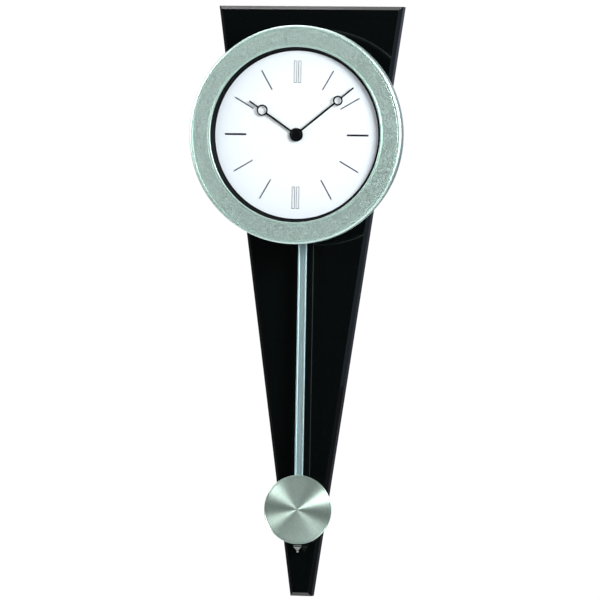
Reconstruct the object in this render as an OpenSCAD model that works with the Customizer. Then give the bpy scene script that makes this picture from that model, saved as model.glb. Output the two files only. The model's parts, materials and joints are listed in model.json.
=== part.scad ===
// Pendulum wall clock: a round metal-cased head and a free pendulum on a tapered lacquered board.
// The origin is the centre of the hanging keyhole on the wall plane. The clock faces -Y, +Z is up.
// Depths are measured forwards from the wall; sections are drawn in x and z about the dial centre.

/* [Board] */
// Height of the tapered board
board_h = 590; // [560:5:620]
// Width of the board at its top edge
board_top_w = 189.6; // [180:1:200]
// Width of the board at its foot
board_foot_w = 21.6; // [18:0.2:30]
// Thickness of the board
board_t = 14; // [12:0.5:16]
// Chamfer round the board's front edges
board_chamfer = 3.5; // [2:0.5:5]
// Height of the board's top edge above the dial centre
board_rise = 130; // [122:1:140]
// Height of the hanging keyhole above the dial centre
hook_rise = 104; // [98:1:110]

/* [Head] */
// Outer radius of the bezel ring
ring_r = 108.5; // [106:0.5:112]
// Radius of the opening in the bezel ring
ring_opening_r = 87; // [85:0.5:88]
// Front of the bezel ring above the wall
ring_front = 70; // [69.5:0.1:71]
// Depth of the bezel ring's skirt
ring_depth = 11; // [10:0.5:12]
// Outer radius of the case drum behind the ring
drum_r = 96; // [95:0.5:97]
// Radius at which the dial meets the black inner ring
dial_seen_r = 83.4; // [82:0.2:85]

/* [Time shown] */
// Hours shown by the hands
time_hour = 10; // [0:1:11]
// Minutes shown by the hands
time_minute = 8.5; // [0:0.5:59.5]

/* [Pendulum] */
// Height of the swing pivot above the dial centre
pivot_rise = 54; // [50:1:56]
// Distance of the bob's centre below the dial centre
bob_drop = 373; // [360:1:385]
// Radius of the bob
bob_r = 34.4; // [30:0.2:38]
// Width of the pendulum rod
rod_w = 8.7; // [7:0.1:10]
// Thickness of the pendulum rod
rod_t = 2.5; // [2:0.1:3]

/* [Hidden] */
$fn = 96;
bore_fn = 48;
lap = 0.5;

// ---- Depth stack of the head, forwards from the wall ----
pad_t = 1.5;
board_back = pad_t;
board_front = board_back + board_t;
lens_t = 1.5;
lip_t = 1.5;
lens_back = ring_front - lip_t - lens_t;
dial_front = ring_front - 7.5;
dial_t = 1;
dial_back = dial_front - dial_t;
rubber_t = 1;
shell_front = dial_back - rubber_t;
shell_t = 1.8;
shell_depth = 16;
shell_back = shell_front - shell_depth;
shell_split = shell_back + 7;
plate_front = shell_front - shell_t;
ring_back = ring_front - ring_depth;

// ---- Movement ----
shell_x = 28;
shell_low = -30;
shell_high = 62;
wall = 1.5;
bay_x0 = -shell_x + wall;
bay_x1 = -11.8;
bay_z0 = -28;
bay_z1 = 26;
drive_z = 27;
drive_half = 10.5;
drive_back = shell_back - 6.6;
middle_back = shell_back + 8;
arbor_r = 0.5;
pivot_r = 0.3;
run_gap = 0.05;

// ---- Gear train: teeth, module, places ----
play_share = 0.12;
motion_module = 0.5;
hour_module = 0.48;
cannon_teeth = 12;
motion_teeth = 36;
motion_pinion_teeth = 10;
hour_teeth = 40;
motion_gap = motion_module * (cannon_teeth + motion_teeth) / 2;
motion_dir = 30;
knob_dir = -30;
motion_at = motion_gap * [cos(motion_dir), sin(motion_dir)];
knob_at = motion_at + motion_gap * [cos(knob_dir), sin(knob_dir)];

centre_module = 0.3;
fine_module = 0.25;
step_module = 0.2;
centre_teeth = 60;
third_pinion_teeth = 8;
third_teeth = 64;
seconds_pinion_teeth = 8;
seconds_teeth = 60;
step_pinion_teeth = 12;
step_teeth = 60;
rotor_teeth = 10;
third_dir = -60;
seconds_dir = -60;
step_dir = 0;
rotor_dir = 90;
third_at = centre_module * (centre_teeth + third_pinion_teeth) / 2 * [cos(third_dir), sin(third_dir)];
seconds_at = third_at
    + fine_module * (third_teeth + seconds_pinion_teeth) / 2 * [cos(seconds_dir), sin(seconds_dir)];
step_at = seconds_at
    + fine_module * (seconds_teeth + step_pinion_teeth) / 2 * [cos(step_dir), sin(step_dir)];
rotor_at = step_at + step_module * (step_teeth + rotor_teeth) / 2 * [cos(rotor_dir), sin(rotor_dir)];

// ---- Hands ----
minute_angle = time_minute * 6;
hour_angle = time_hour * 30 + time_minute / 2;
hand_t = 0.5;
hour_hand_back = dial_front + 1.9;
minute_hand_back = dial_front + 2.8;
tube_r = 2.4;
tube_bore_r = 1.65;
minute_r = 1.55;
bush_r = 3;
bush_bore_r = 2.45;

// ---- Pendulum ----
arm_back = 32;
arm_front = 36;
pin_r = 1;
rod_back = 28;
rod_front = rod_back + rod_t;
hook_z = -40;
rod_top = hook_z + 7;
rod_foot = -bob_drop - bob_r + 9;
rod_mid = rod_back + rod_t / 2;
stud_r = 1.2;
nut_r = 4.5;
nut_h = 5;
nut_top = -bob_drop - bob_r - 0.9;
nut_foot = nut_top - nut_h;
ball_r = 1.3;
bob_front = 34.5;

// ---- Drawing helpers ----
// A flat section from depth d0 to depth d1
module slab(d0, d1)
    translate([0, -d0, -hook_rise]) rotate([90, 0, 0]) linear_extrude(d1 - d0) children();

// A profile of radius against depth, turned about an axis through point at
module lathe(at = [0, 0])
    translate([at[0], 0, at[1] - hook_rise]) rotate([90, 0, 0]) rotate_extrude() children();

module disc(r, d0, d1, at = [0, 0]) slab(d0, d1) translate(at) circle(r);

module tube(r, bore, d0, d1, at = [0, 0])
    slab(d0, d1) translate(at) difference() { circle(r); circle(bore, $fn = bore_fn); }

// A section in x and depth, standing up from height z0 to z1 over the dial centre
module column(z0, z1)
    translate([0, 0, z0 - hook_rise]) linear_extrude(z1 - z0) mirror([0, 1]) children();

module box2(x0, z0, x1, z1) translate([x0, z0]) square([x1 - x0, z1 - z0]);

module round_box(x0, z0, x1, z1, r)
    union() {
        box2(x0 + r, z0, x1 - r, z1);
        box2(x0, z0 + r, x1, z1 - r);
        for (x = [x0 + r, x1 - r], z = [z0 + r, z1 - r]) translate([x, z]) circle(r);
    }

// ---- Gear helpers ----
function inv_deg(a) = tan(a) * 180 / PI - a;
function half_tooth(r, teeth, m) =
    let (pitch_r = m * teeth / 2, base_r = pitch_r * cos(20))
    90 / teeth * (1 - play_share) + inv_deg(20) - inv_deg(acos(min(1, base_r / r)));
function gear_radii(teeth, m) =
    let (pitch_r = m * teeth / 2) [pitch_r - 1.15 * m, pitch_r - 0.3 * m, pitch_r + 0.35 * m,
        pitch_r + 0.8 * m];
function gear_points(teeth, m) =
    let (radii = gear_radii(teeth, m))
    [for (i = [0:teeth - 1], k = [0:7])
        let (
            r = radii[k < 4 ? k : 7 - k],
            side = k < 4 ? -1 : 1,
            a = i * 360 / teeth + side * half_tooth(r, teeth, m)
        ) r * [cos(a), sin(a)]];
// Turn that meshes a gear of z2 teeth with one of z1 teeth turned by turn1, in direction dir
function mesh_turn(turn1, z1, z2, dir) = dir + 180 + 180 / z2 + (dir - turn1) * z1 / z2;

module gear(teeth, m, d0, d1, at = [0, 0], turn = 0, bore = 0)
    slab(d0, d1) translate(at) difference() {
        rotate(turn) polygon(gear_points(teeth, m));
        if (bore > 0) circle(bore, $fn = bore_fn);
    }

cannon_turn = 0;
motion_turn = mesh_turn(cannon_turn, cannon_teeth, motion_teeth, motion_dir);
hour_turn = mesh_turn(0, motion_pinion_teeth, hour_teeth, motion_dir + 180);
knob_turn = mesh_turn(motion_turn, motion_teeth, cannon_teeth, knob_dir);
third_pinion_turn = mesh_turn(0, centre_teeth, third_pinion_teeth, third_dir);
seconds_pinion_turn = mesh_turn(0, third_teeth, seconds_pinion_teeth, seconds_dir);
step_pinion_turn = mesh_turn(0, seconds_teeth, step_pinion_teeth, step_dir);
rotor_turn = mesh_turn(0, step_teeth, rotor_teeth, rotor_dir);

// ---- Board and wall fixings ----
pad_places = [[-70, 112], [70, 112], [0, -442]];
plate_screw_x = 21;
case_screw_r = 82;
case_screw_angles = [40, 140, 230, 310];
opening_x = 42;
opening_low = -45;
opening_high = 78;

module board_outline() {
    top = board_rise;
    foot = board_rise - board_h;
    polygon([[-board_top_w / 2, top], [-board_foot_w / 2, foot],
        [board_foot_w / 2, foot], [board_top_w / 2, top]]);
}

// Cuts the 45 degree chamfer along one edge, given its middle and its outward direction
module edge_cut(x, z, dir) {
    long = board_h * 1.2;
    translate([x, -board_front, z - hook_rise]) rotate([0, -dir, 0])
        rotate([0, 0, -45]) translate([-board_chamfer * sqrt(0.5), -board_h / 2, -long / 2])
            cube([board_h, board_h, long]);
}

module back_board() {
    foot = board_rise - board_h;
    taper = atan((board_top_w - board_foot_w) / 2 / board_h);
    mid_x = (board_top_w + board_foot_w) / 4;
    color([0.03, 0.035, 0.04]) difference() {
        slab(board_back, board_front) board_outline();
        for (edge = [[0, board_rise, 90], [0, foot, -90],
            [mid_x, board_rise - board_h / 2, -taper],
            [-mid_x, board_rise - board_h / 2, 180 + taper]])
            edge_cut(edge[0], edge[1], edge[2]);
        slab(board_back - lap, board_front + lap)
            round_box(-opening_x, opening_low, opening_x, opening_high, 10);
        slab(board_back - lap, board_back + 9) round_box(-8, hook_rise - 9, 8, hook_rise + 16, 6);
        for (x = [-plate_screw_x, plate_screw_x])
            disc(1.2, board_back - lap, board_back + 10, [x, hook_rise]);
        for (a = case_screw_angles) {
            disc(2.2, board_back - lap, board_front + lap, case_screw_r * [cos(a), sin(a)]);
            disc(4.2, board_back - lap, board_back + 4, case_screw_r * [cos(a), sin(a)]);
        }
    }
}

module hanger_plate()
    color([0.75, 0.76, 0.74]) slab(0, pad_t) translate([0, hook_rise]) difference() {
        round_box(-29, -12, 29, 20, 4);
        circle(5, $fn = bore_fn);
        box2(-2.3, 0, 2.3, 12);
        translate([0, 12]) circle(2.3, $fn = bore_fn);
        for (x = [-plate_screw_x, plate_screw_x]) translate([x, 0]) circle(1.7, $fn = bore_fn);
    }

// A countersunk or pan screw with a cross recess; the head is at the wall side
module screw(at, head_r, shank_r, head_d0, head_d1, tip)
    difference() {
        union() {
            disc(head_r, head_d0, head_d1, at);
            disc(shank_r, head_d1 - lap, tip, at);
        }
        for (turn = [0, 90])
            slab(head_d0 - lap, head_d0 + (head_d1 - head_d0) * 0.6)
                translate(at) rotate(turn) square([head_r * 1.2, head_r * 0.25], center = true);
    }

module hanger_screws()
    color([0.8, 0.8, 0.78]) for (x = [-plate_screw_x, plate_screw_x])
        difference() {
            union() {
                lathe([x, hook_rise]) polygon([[0, 0], [1.65, 0], [1.65, pad_t], [0, pad_t]]);
                disc(1.2, pad_t - 0.1, 11, [x, hook_rise]);
            }
            for (turn = [0, 90]) slab(-lap, 0.8) translate([x, hook_rise]) rotate(turn)
                square([2.2, 0.5], center = true);
        }

module wall_pads()
    color([0.12, 0.12, 0.12]) for (at = pad_places) disc(5.5, 0, pad_t, at);

// ---- Case drum ----
slot_x = 26;
slot_front = 42;
flange_r = 105.5;
bezel_screw_r = 101;
bezel_screw_angles = [for (i = [0:5]) 30 + i * 60];
boss_top = board_front + 22;

module case_drum()
    color([0.16, 0.17, 0.17]) difference() {
        union() {
            lathe() polygon([[drum_r - 2.5, board_front], [drum_r, board_front],
                [drum_r, ring_back], [flange_r, ring_back], [flange_r, ring_back + 2],
                [drum_r, ring_back + 2], [drum_r, dial_back], [84, dial_back],
                [84, dial_back - 2], [drum_r - 2.5, dial_back - 2]]);
            for (a = case_screw_angles) {
                disc(4.5, board_front, boss_top, case_screw_r * [cos(a), sin(a)]);
                slab(board_front, boss_top) rotate(a)
                    box2(case_screw_r + 4, -1.2, drum_r - 1.5, 1.2);
            }
        }
        slab(board_front - lap, slot_front) box2(-slot_x, -drum_r - 5, slot_x, -70);
        for (a = case_screw_angles)
            disc(1.6, board_front - lap, board_front + 16, case_screw_r * [cos(a), sin(a)]);
        for (a = bezel_screw_angles)
            disc(1.7, ring_back - lap, ring_back + 2.5, bezel_screw_r * [cos(a), sin(a)]);
    }

module case_screws()
    color([0.7, 0.7, 0.68]) for (a = case_screw_angles)
        screw(case_screw_r * [cos(a), sin(a)], 3.6, 1.6, board_back + 1.6, board_back + 4,
            board_front + 15);

// ---- Bezel, lens and dial ----
module bezel_ring() {
    face = ring_front - 0.6;
    under = ring_front - 2.4;
    seat_r = 90.4;
    color([0.66, 0.72, 0.69]) difference() {
        union() {
            lathe() polygon([
                [ring_r - 2, ring_back], [ring_r, ring_back], [ring_r, face - 1],
                [ring_r - 0.8, face], [ring_r - 2, ring_front - 0.2],
                [105.4, ring_front - 0.2], [105.2, face - 0.5], [104.7, face - 0.5],
                [104.5, face], [89.7, face], [89.5, face - 0.5], [89, face - 0.5],
                [88.8, ring_front], [ring_opening_r + 0.4, ring_front],
                [ring_opening_r, ring_front - 0.6], [ring_opening_r, ring_front - lip_t],
                [seat_r, ring_front - lip_t],
                [seat_r, dial_back], [seat_r + 2, dial_back], [seat_r + 2, under],
                [ring_r - 2, under]]);
            for (a = bezel_screw_angles)
                disc(3.2, ring_back + 2, under + 0.1, bezel_screw_r * [cos(a), sin(a)]);
        }
        for (a = bezel_screw_angles)
            disc(1.1, ring_back + 1, ring_back + 8, bezel_screw_r * [cos(a), sin(a)]);
    }
}

module bezel_screws()
    color([0.8, 0.8, 0.78]) for (a = bezel_screw_angles)
        screw(bezel_screw_r * [cos(a), sin(a)], 2.8, 1.1, ring_back - 1.8, ring_back,
            ring_back + 7.5);

module lens() color([0.9, 0.95, 0.97, 0.3]) disc(90, lens_back, lens_back + lens_t);

module inner_ring()
    color([0.02, 0.02, 0.02]) lathe()
        polygon([[dial_seen_r, dial_front], [90, dial_front], [90, lens_back],
            [ring_opening_r + 0.5, lens_back], [dial_seen_r, dial_front + 0.6]]);

module dial_plate() color([0.97, 0.98, 1]) tube(90, bush_r + 0.1, dial_back, dial_front);

baton_in = 51.5;
baton_out = 73.5;
baton_t = 0.6;
double_gap = 4.4;

module baton(hour, w, shift = 0)
    slab(dial_front, dial_front + baton_t) rotate(-hour * 30)
        translate([shift, (baton_in + baton_out) / 2])
            square([w, baton_out - baton_in], center = true);

module hour_batons()
    color([0.6, 0.6, 0.65]) for (hour = [1, 2, 4, 5, 7, 8, 10, 11]) baton(hour, 1.2);

module quarter_batons() color([0.45, 0.45, 0.5]) for (hour = [3, 9]) baton(hour, 1.9);

module double_batons()
    color([0.6, 0.6, 0.65]) for (hour = [6, 12], side = [-1, 1])
        baton(hour, 2.9, side * double_gap / 2);

// ---- Movement shell and plates ----
module shell_section() round_box(-shell_x, shell_low, shell_x, shell_high, 2.5);
module shell_room()
    round_box(-shell_x + wall, shell_low + wall, shell_x - wall, shell_high - wall, 1.2);

module movement_front()
    color([0.12, 0.12, 0.13]) difference() {
        slab(shell_split, shell_front) shell_section();
        slab(shell_split - lap, plate_front) shell_room();
        disc(bush_r, plate_front - lap, shell_front + lap);
        disc(arbor_r + run_gap, plate_front - lap, plate_front + 0.8, motion_at);
        disc(arbor_r + run_gap, plate_front - lap, plate_front + 0.8, knob_at);
    }

module movement_middle_plate()
    color([0.85, 0.85, 0.8]) difference() {
        slab(middle_back, middle_back + 1) intersection() {
            box2(bay_x1 + 1.4, shell_low + wall, shell_x - wall, 18.5);
            shell_room();
        }
        disc(1 + run_gap, middle_back - lap, middle_back + 1.5);
        for (at = [third_at, seconds_at, step_at, rotor_at])
            disc(pivot_r + run_gap, middle_back - lap, middle_back + 1.5, at);
        disc(arbor_r + run_gap, middle_back - lap, middle_back + 1.5, motion_at);
        disc(1.2 + run_gap, middle_back - lap, middle_back + 1.5, knob_at);
    }

module movement_back()
    color([0.14, 0.14, 0.15]) difference() {
        union() {
            slab(shell_back, shell_split) difference() { shell_section(); shell_room(); }
            slab(shell_back, shell_back + wall) shell_section();
            slab(shell_back, shell_split + 5.5) box2(bay_x1, bay_z0 - 0.5, bay_x1 + 1.2, bay_z1 + 0.6);
            slab(shell_back, shell_split) {
                box2(-shell_x + 1, bay_z1, bay_x1 + 1.2, bay_z1 + 1.2);
            }
            slab(drive_back, shell_back + 0.1)
                round_box(-drive_half, drive_z - 10, drive_half, drive_z + 10, 1.5);
            disc(4, arm_front + 0.3, shell_back + wall, [0, pivot_rise]);
        }
        slab(shell_back - lap, shell_back + wall + lap) box2(bay_x0, bay_z0, bay_x1, bay_z1);
        slab(drive_back + 1.2, shell_back + wall + lap)
            box2(-drive_half + 1.2, drive_z - 8.8, drive_half - 1.2, drive_z + 8.8);
        disc(pin_r, arm_front, shell_back + wall + lap, [0, pivot_rise]);
        disc(1 + run_gap, shell_back - lap, shell_back + wall + lap);
        disc(1.2 + run_gap, shell_back - lap, shell_back + wall + lap, knob_at);
        for (at = [third_at, seconds_at, step_at, rotor_at])
            disc(pivot_r + run_gap, shell_back + 0.4, shell_back + wall + lap, at);
    }

module hand_bush()
    color([0.8, 0.65, 0.3]) {
        tube(bush_r, bush_bore_r, plate_front, dial_front + 1.9);
    }

module hex_nut()
    color([0.8, 0.65, 0.3]) slab(dial_front + 0.3, dial_front + 1.6) difference() {
        circle(4.5, $fn = 6);
        circle(bush_r, $fn = bore_fn);
    }

module brass_washer() color([0.82, 0.67, 0.32]) tube(5, bush_r, dial_front, dial_front + 0.3);

module rubber_washer() color([0.05, 0.05, 0.05]) tube(9, bush_r, shell_front, dial_back);

// ---- Electric parts ----
coil_z = 13.5;
coil_x0 = 13.5;
coil_x1 = 25;
coil_d = shell_back + 4.7;
coil_r = 3;
stator_t = 1;

module circuit_board()
    color([0.1, 0.35, 0.15]) difference() {
        slab(shell_back + 9, shell_back + 10)
            box2(-10, drive_z + 11.5, shell_x - wall - 0.5, shell_high - wall - 1);
        disc(1.4, shell_back + 8, shell_back + 11, [22, 55]);
        disc(1.4, shell_back + 8, shell_back + 11, [-6, 55]);
    }

module quartz_crystal()
    color([0.75, 0.75, 0.7]) translate([12, -(shell_back + 7.4), 44 - hook_rise])
        cylinder(r = 1.5, h = 8);

module motor_bobbin()
    color([0.9, 0.88, 0.8]) translate([0, -coil_d, coil_z - hook_rise])
        rotate([0, 90, 0]) difference() {
            union() {
                translate([0, 0, coil_x0]) cylinder(r = 1.4, h = coil_x1 - coil_x0);
                for (x = [coil_x0, coil_x1 - 0.8]) translate([0, 0, x])
                    cylinder(r = coil_r, h = 0.8);
            }
            translate([0, 0, coil_x0 - 1])
                cylinder(r = 0.9, h = coil_x1 - coil_x0 + 2, $fn = bore_fn);
        }

module motor_winding()
    color([0.7, 0.35, 0.15]) translate([coil_x0 + 0.8, -coil_d, coil_z - hook_rise])
        rotate([0, 90, 0]) difference() {
            cylinder(r = coil_r - 0.2, h = coil_x1 - coil_x0 - 1.6);
            translate([0, 0, -1]) cylinder(r = 1.4, h = coil_x1, $fn = bore_fn);
        }

// A U-shaped plate round the rotor, with its core through the coil
module motor_stator()
    color([0.6, 0.6, 0.62]) slab(coil_d - stator_t / 2, coil_d + stator_t / 2) {
        difference() {
            box2(11.2, -14, 26.3, 10);
            box2(14.5, -5.6, 23.4, 11);
            translate(rotor_at) circle(3);
        }
        box2(11.2, 10, 13.2, coil_z + 0.5);
        box2(25.1, 10, 26.3, coil_z + 0.5);
        box2(13.2, coil_z - 0.5, 25.1, coil_z + 0.5);
    }

// An AA cell standing upright in its bay
battery_r = 7.2;
battery_can = 49.2;
battery_nub = 1.3;
battery_x = (bay_x0 + bay_x1) / 2;
battery_d = shell_back + 6.7;
battery_foot = bay_z0 + 1.4;
battery_top = battery_foot + battery_can + battery_nub;
contact_t = 0.5;
contact_half = 4;

module battery_positive_contact()
    color([0.8, 0.75, 0.5]) slab(shell_back + 3, shell_back + 12)
        box2(battery_x - contact_half, battery_top + 0.2, battery_x + contact_half,
            battery_top + 0.2 + contact_t);

// A leaf plate with a round boss that presses on the can
module battery_negative_contact()
    color([0.8, 0.75, 0.5]) {
        slab(shell_back + 3, shell_back + 12)
            box2(battery_x - contact_half, bay_z0 + 0.2, battery_x + contact_half,
                bay_z0 + 0.2 + contact_t);
        translate([battery_x, -battery_d, bay_z0 + 0.2 - hook_rise]) cylinder(r = 2.4, h = 0.95);
    }

module battery()
    color([0.3, 0.32, 0.34]) translate([battery_x, -battery_d, battery_foot - hook_rise]) {
        cylinder(r = battery_r, h = battery_can);
        translate([0, 0, battery_can - 0.1]) cylinder(r = 2.7, h = battery_nub + 0.1);
    }

module drive_bobbin()
    color([0.9, 0.88, 0.8]) {
        tube(2.6, 1.2, drive_back + 1.3, shell_back + 0.9, [0, drive_z]);
        tube(8, 1.2, drive_back + 1.3, drive_back + 1.9, [0, drive_z]);
        tube(8, 1.2, shell_back + 0.4, shell_back + 1, [0, drive_z]);
    }

module drive_winding()
    color([0.7, 0.35, 0.15]) tube(7.2, 2.6, drive_back + 1.9, shell_back + 0.4, [0, drive_z]);

// ---- Hands and motion work ----
module minute_arbor()
    color([0.8, 0.8, 0.75]) {
        disc(1, shell_back + 0.3, middle_back + 1.2);
        gear(cannon_teeth, motion_module, middle_back + 1.3, middle_back + 3.4, [0, 0], cannon_turn);
        disc(minute_r, middle_back + 1.2, minute_hand_back + 0.9);
    }

hub_r = 5.2;
cup_r = 6.8;

// A straight hand with an open ring, drawn pointing to twelve
module hand_outline(tip, ring_c, ring_out, stick, stroke, hub) {
    box2(-stick / 2, hub / 2, stick / 2, ring_c - ring_out + stroke / 2);
    box2(-stick * 0.4, ring_c + ring_out - stroke / 2, stick * 0.4, tip);
    translate([0, ring_c]) difference() { circle(ring_out); circle(ring_out - stroke); }
    circle(hub);
}

module minute_hand()
    color([0.02, 0.02, 0.02]) slab(minute_hand_back, minute_hand_back + hand_t)
        rotate(-minute_angle) difference() {
            hand_outline(74.8, 54.4, 5, 1.9, 1.5, hub_r - 0.6);
            circle(minute_r, $fn = bore_fn);
        }

module hand_cap()
    color([0.03, 0.03, 0.04]) lathe() polygon([[minute_r, minute_hand_back + hand_t],
        [hub_r, minute_hand_back + hand_t], [hub_r, minute_hand_back + 1],
        [hub_r - 0.3, minute_hand_back + 1.3], [0, minute_hand_back + 1.3],
        [0, minute_hand_back + 0.9], [minute_r, minute_hand_back + 0.9]]);

module hour_wheel()
    color([0.9, 0.88, 0.8]) {
        gear(hour_teeth, hour_module, plate_front - 2.5, plate_front - 1.3, [0, 0], hour_turn,
            tube_bore_r);
        tube(tube_r, tube_bore_r, plate_front - 2.6, hour_hand_back + 0.5);
    }

module hour_hand()
    color([0.02, 0.02, 0.02]) difference() {
        union() {
            slab(hour_hand_back, hour_hand_back + hand_t) rotate(-hour_angle)
                hand_outline(58.5, 42.5, 5.7, 2, 1.5, cup_r - 1);
            disc(cup_r, dial_front + 0.5, hour_hand_back + hand_t);
        }
        disc(cup_r - 0.6, dial_front + 0.5 - lap, hour_hand_back);
        disc(tube_r, hour_hand_back - lap, hour_hand_back + hand_t + lap);
    }

module motion_wheel()
    color([0.9, 0.88, 0.8]) {
        disc(arbor_r, middle_back + 0.1, plate_front + 0.7, motion_at);
        gear(motion_teeth, motion_module, middle_back + 1.5, middle_back + 2.9, motion_at,
            motion_turn);
        disc(2, middle_back + 2.8, middle_back + 3.4, motion_at);
        gear(motion_pinion_teeth, hour_module, middle_back + 3.3, plate_front - 0.6, motion_at, 0);
    }

knob_r = 6;
module set_knob()
    color([0.2, 0.2, 0.2]) {
        disc(arbor_r, middle_back + 1.4, plate_front + 0.7, knob_at);
        gear(cannon_teeth, motion_module, middle_back + 1.4, middle_back + 3, knob_at, knob_turn);
        disc(1.2, shell_back - 1, middle_back + 2, knob_at);
        difference() {
            disc(knob_r, shell_back - 5, shell_back - 0.6, knob_at);
            for (i = [0:23])
                slab(shell_back - 5 - lap, shell_back - 1.6) translate(knob_at) rotate(i * 15)
                    translate([knob_r, 0]) rotate(45) square(0.7, center = true);
        }
    }

// ---- Going train ----
module centre_wheel()
    color([0.85, 0.7, 0.35]) {
        gear(centre_teeth, centre_module, shell_back + 6.5, shell_back + 7.3, [0, 0], 0, 1 + run_gap);
        tube(2, 1 + run_gap, shell_back + 5.6, shell_back + 7.6);
    }

// An arbor with a wheel and a pinion, each a [teeth, module, back, front, turn] list
module train_wheel(at, wheel, pinion, arbor)
    union() {
        disc(pivot_r, shell_back + 0.6, middle_back + 0.9, at);
        disc(arbor, shell_back + wall + 0.3, middle_back - 0.3, at);
        for (g = [wheel, pinion])
            gear(g[0], g[1], shell_back + g[2], shell_back + g[3], at, g[4]);
    }

module third_wheel()
    color([0.9, 0.88, 0.8]) train_wheel(third_at, [third_teeth, fine_module, 2.2, 2.9, 0],
        [third_pinion_teeth, centre_module, 6.3, 7.6, third_pinion_turn], 0.7);

module seconds_wheel()
    color([0.9, 0.88, 0.8]) train_wheel(seconds_at, [seconds_teeth, fine_module, 5.6, 6.2, 0],
        [seconds_pinion_teeth, fine_module, 1.9, 3.2, seconds_pinion_turn], 0.6);

module step_wheel()
    color([0.9, 0.88, 0.8]) train_wheel(step_at, [step_teeth, step_module, 2.3, 2.9, 0],
        [step_pinion_teeth, fine_module, 5.4, 6.4, step_pinion_turn], 0.9);

module rotor_pinion()
    color([0.9, 0.88, 0.8]) union() {
        disc(pivot_r, shell_back + 0.6, middle_back + 0.9, rotor_at);
        gear(rotor_teeth, step_module, shell_back + 2, shell_back + 3.2, rotor_at, rotor_turn);
        disc(0.7, shell_back + 3.1, shell_back + 5.6, rotor_at);
    }

module rotor_magnet()
    color([0.3, 0.3, 0.32]) tube(2.4, 0.7, shell_back + 3.7, shell_back + 5.3, rotor_at);

// ---- Pendulum ----
module pivot_pin()
    color([0.8, 0.8, 0.82]) union() {
        disc(pin_r, arm_back - 1, shell_back + 1, [0, pivot_rise]);
        disc(2, arm_back - 1.6, arm_back - 0.6, [0, pivot_rise]);
    }

module hanger_arm()
    color([0.75, 0.76, 0.72]) difference() {
        union() {
            slab(arm_back, arm_front) {
                translate([0, pivot_rise]) circle(5);
                box2(-3.6, hook_z - 5, 3.6, pivot_rise);
                translate([0, drive_z]) circle(6);
            }
        }
        disc(pin_r + run_gap, arm_back - lap, arm_front + lap, [0, pivot_rise]);
        slab(arm_back - lap, arm_front + lap) box2(-1.5, hook_z - 1, 1.5, hook_z + 1.6);
    }

module drive_magnet()
    color([0.35, 0.35, 0.38]) disc(4, arm_front, arm_front + 1.4, [0, drive_z]);

module rod_hook()
    color([0.8, 0.82, 0.8]) {
        slab(rod_front, rod_front + 0.8) box2(-3, hook_z - 7, 3, rod_top);
        slab(rod_front, arm_front + 1) box2(-1.3, hook_z, 1.3, hook_z + 1.3);
        slab(arm_front + 0.2, arm_front + 1) box2(-1.3, hook_z, 1.3, hook_z + 3.5);
    }

// Channel strip: two raised edges and a sunk middle
module rod_section()
    difference() {
        translate([-rod_w / 2, rod_back]) square([rod_w, rod_t]);
        translate([-rod_w / 2 + 1.6, rod_front - 0.7]) square([rod_w - 3.2, 1]);
    }

module pendulum_rod()
    color([0.72, 0.75, 0.74]) column(rod_foot, rod_top) rod_section();

// The threaded end of the rod, drawn plain, with the ball that keeps the nut on
module rod_stud()
    color([0.8, 0.8, 0.78]) translate([0, -rod_mid, -hook_rise]) {
        translate([0, 0, nut_foot - ball_r]) cylinder(r = stud_r, h = rod_foot - nut_foot + ball_r);
        translate([0, 0, nut_foot - 0.3 - ball_r]) sphere(r = ball_r);
    }

// ---- Bob ----
module bob_face()
    color([0.68, 0.73, 0.7]) lathe([0, -bob_drop]) polygon([
        [0, bob_front], [bob_r - 3, bob_front - 1.7], [bob_r - 0.8, bob_front - 2.1],
        [bob_r, bob_front - 2.8], [bob_r, bob_front - 4], [bob_r - 1, bob_front - 4],
        [bob_r - 1, bob_front - 2.9], [0, bob_front - 1.2]]);

// Steel disc behind the face, grooved for the rod
module bob_weight()
    color([0.5, 0.52, 0.52]) difference() {
        disc(bob_r - 4, rod_back - 0.6, bob_front - 3, [0, -bob_drop]);
        slab(rod_back - 1, rod_front + run_gap)
            box2(-rod_w / 2 - run_gap, -bob_drop - 40, rod_w / 2 + run_gap, -bob_drop + 40);
    }

module bob_clip()
    color([0.78, 0.78, 0.76]) slab(rod_back - 1.4, rod_back - 0.6)
        translate([0, -bob_drop]) round_box(-12, -9, 12, 9, 2);

// A knurled cone nut that carries the bob
module rating_nut()
    color([0.8, 0.82, 0.8]) translate([0, -rod_mid, nut_foot - hook_rise]) difference() {
        rotate_extrude() polygon([[stud_r + run_gap, 0], [1.9, 0], [nut_r, 3.3],
            [nut_r, 4.6], [nut_r - 0.5, nut_h], [stud_r + run_gap, nut_h]]);
        for (i = [0:23]) rotate(i * 15) translate([nut_r, 0, 3]) rotate(45)
            translate([-0.2, -0.2, 0]) cube([0.4, 0.4, 3]);
    }

back_board();
hanger_plate();
hanger_screws();
wall_pads();
case_drum();
case_screws();
bezel_ring();
bezel_screws();
lens();
inner_ring();
dial_plate();
hour_batons();
quarter_batons();
double_batons();
movement_front();
movement_middle_plate();
movement_back();
hand_bush();
hex_nut();
brass_washer();
rubber_washer();
circuit_board();
quartz_crystal();
motor_bobbin();
motor_winding();
motor_stator();
battery_positive_contact();
battery_negative_contact();
battery();
drive_bobbin();
drive_winding();
minute_arbor();
minute_hand();
hand_cap();
hour_wheel();
hour_hand();
motion_wheel();
set_knob();
centre_wheel();
third_wheel();
seconds_wheel();
step_wheel();
rotor_pinion();
rotor_magnet();
pivot_pin();
hanger_arm();
drive_magnet();
rod_hook();
pendulum_rod();
rod_stud();
bob_face();
bob_weight();
bob_clip();
rating_nut();
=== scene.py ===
"""A pendulum wall clock: detailed pieces, finishes and a plain studio round its fixed frame."""

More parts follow.
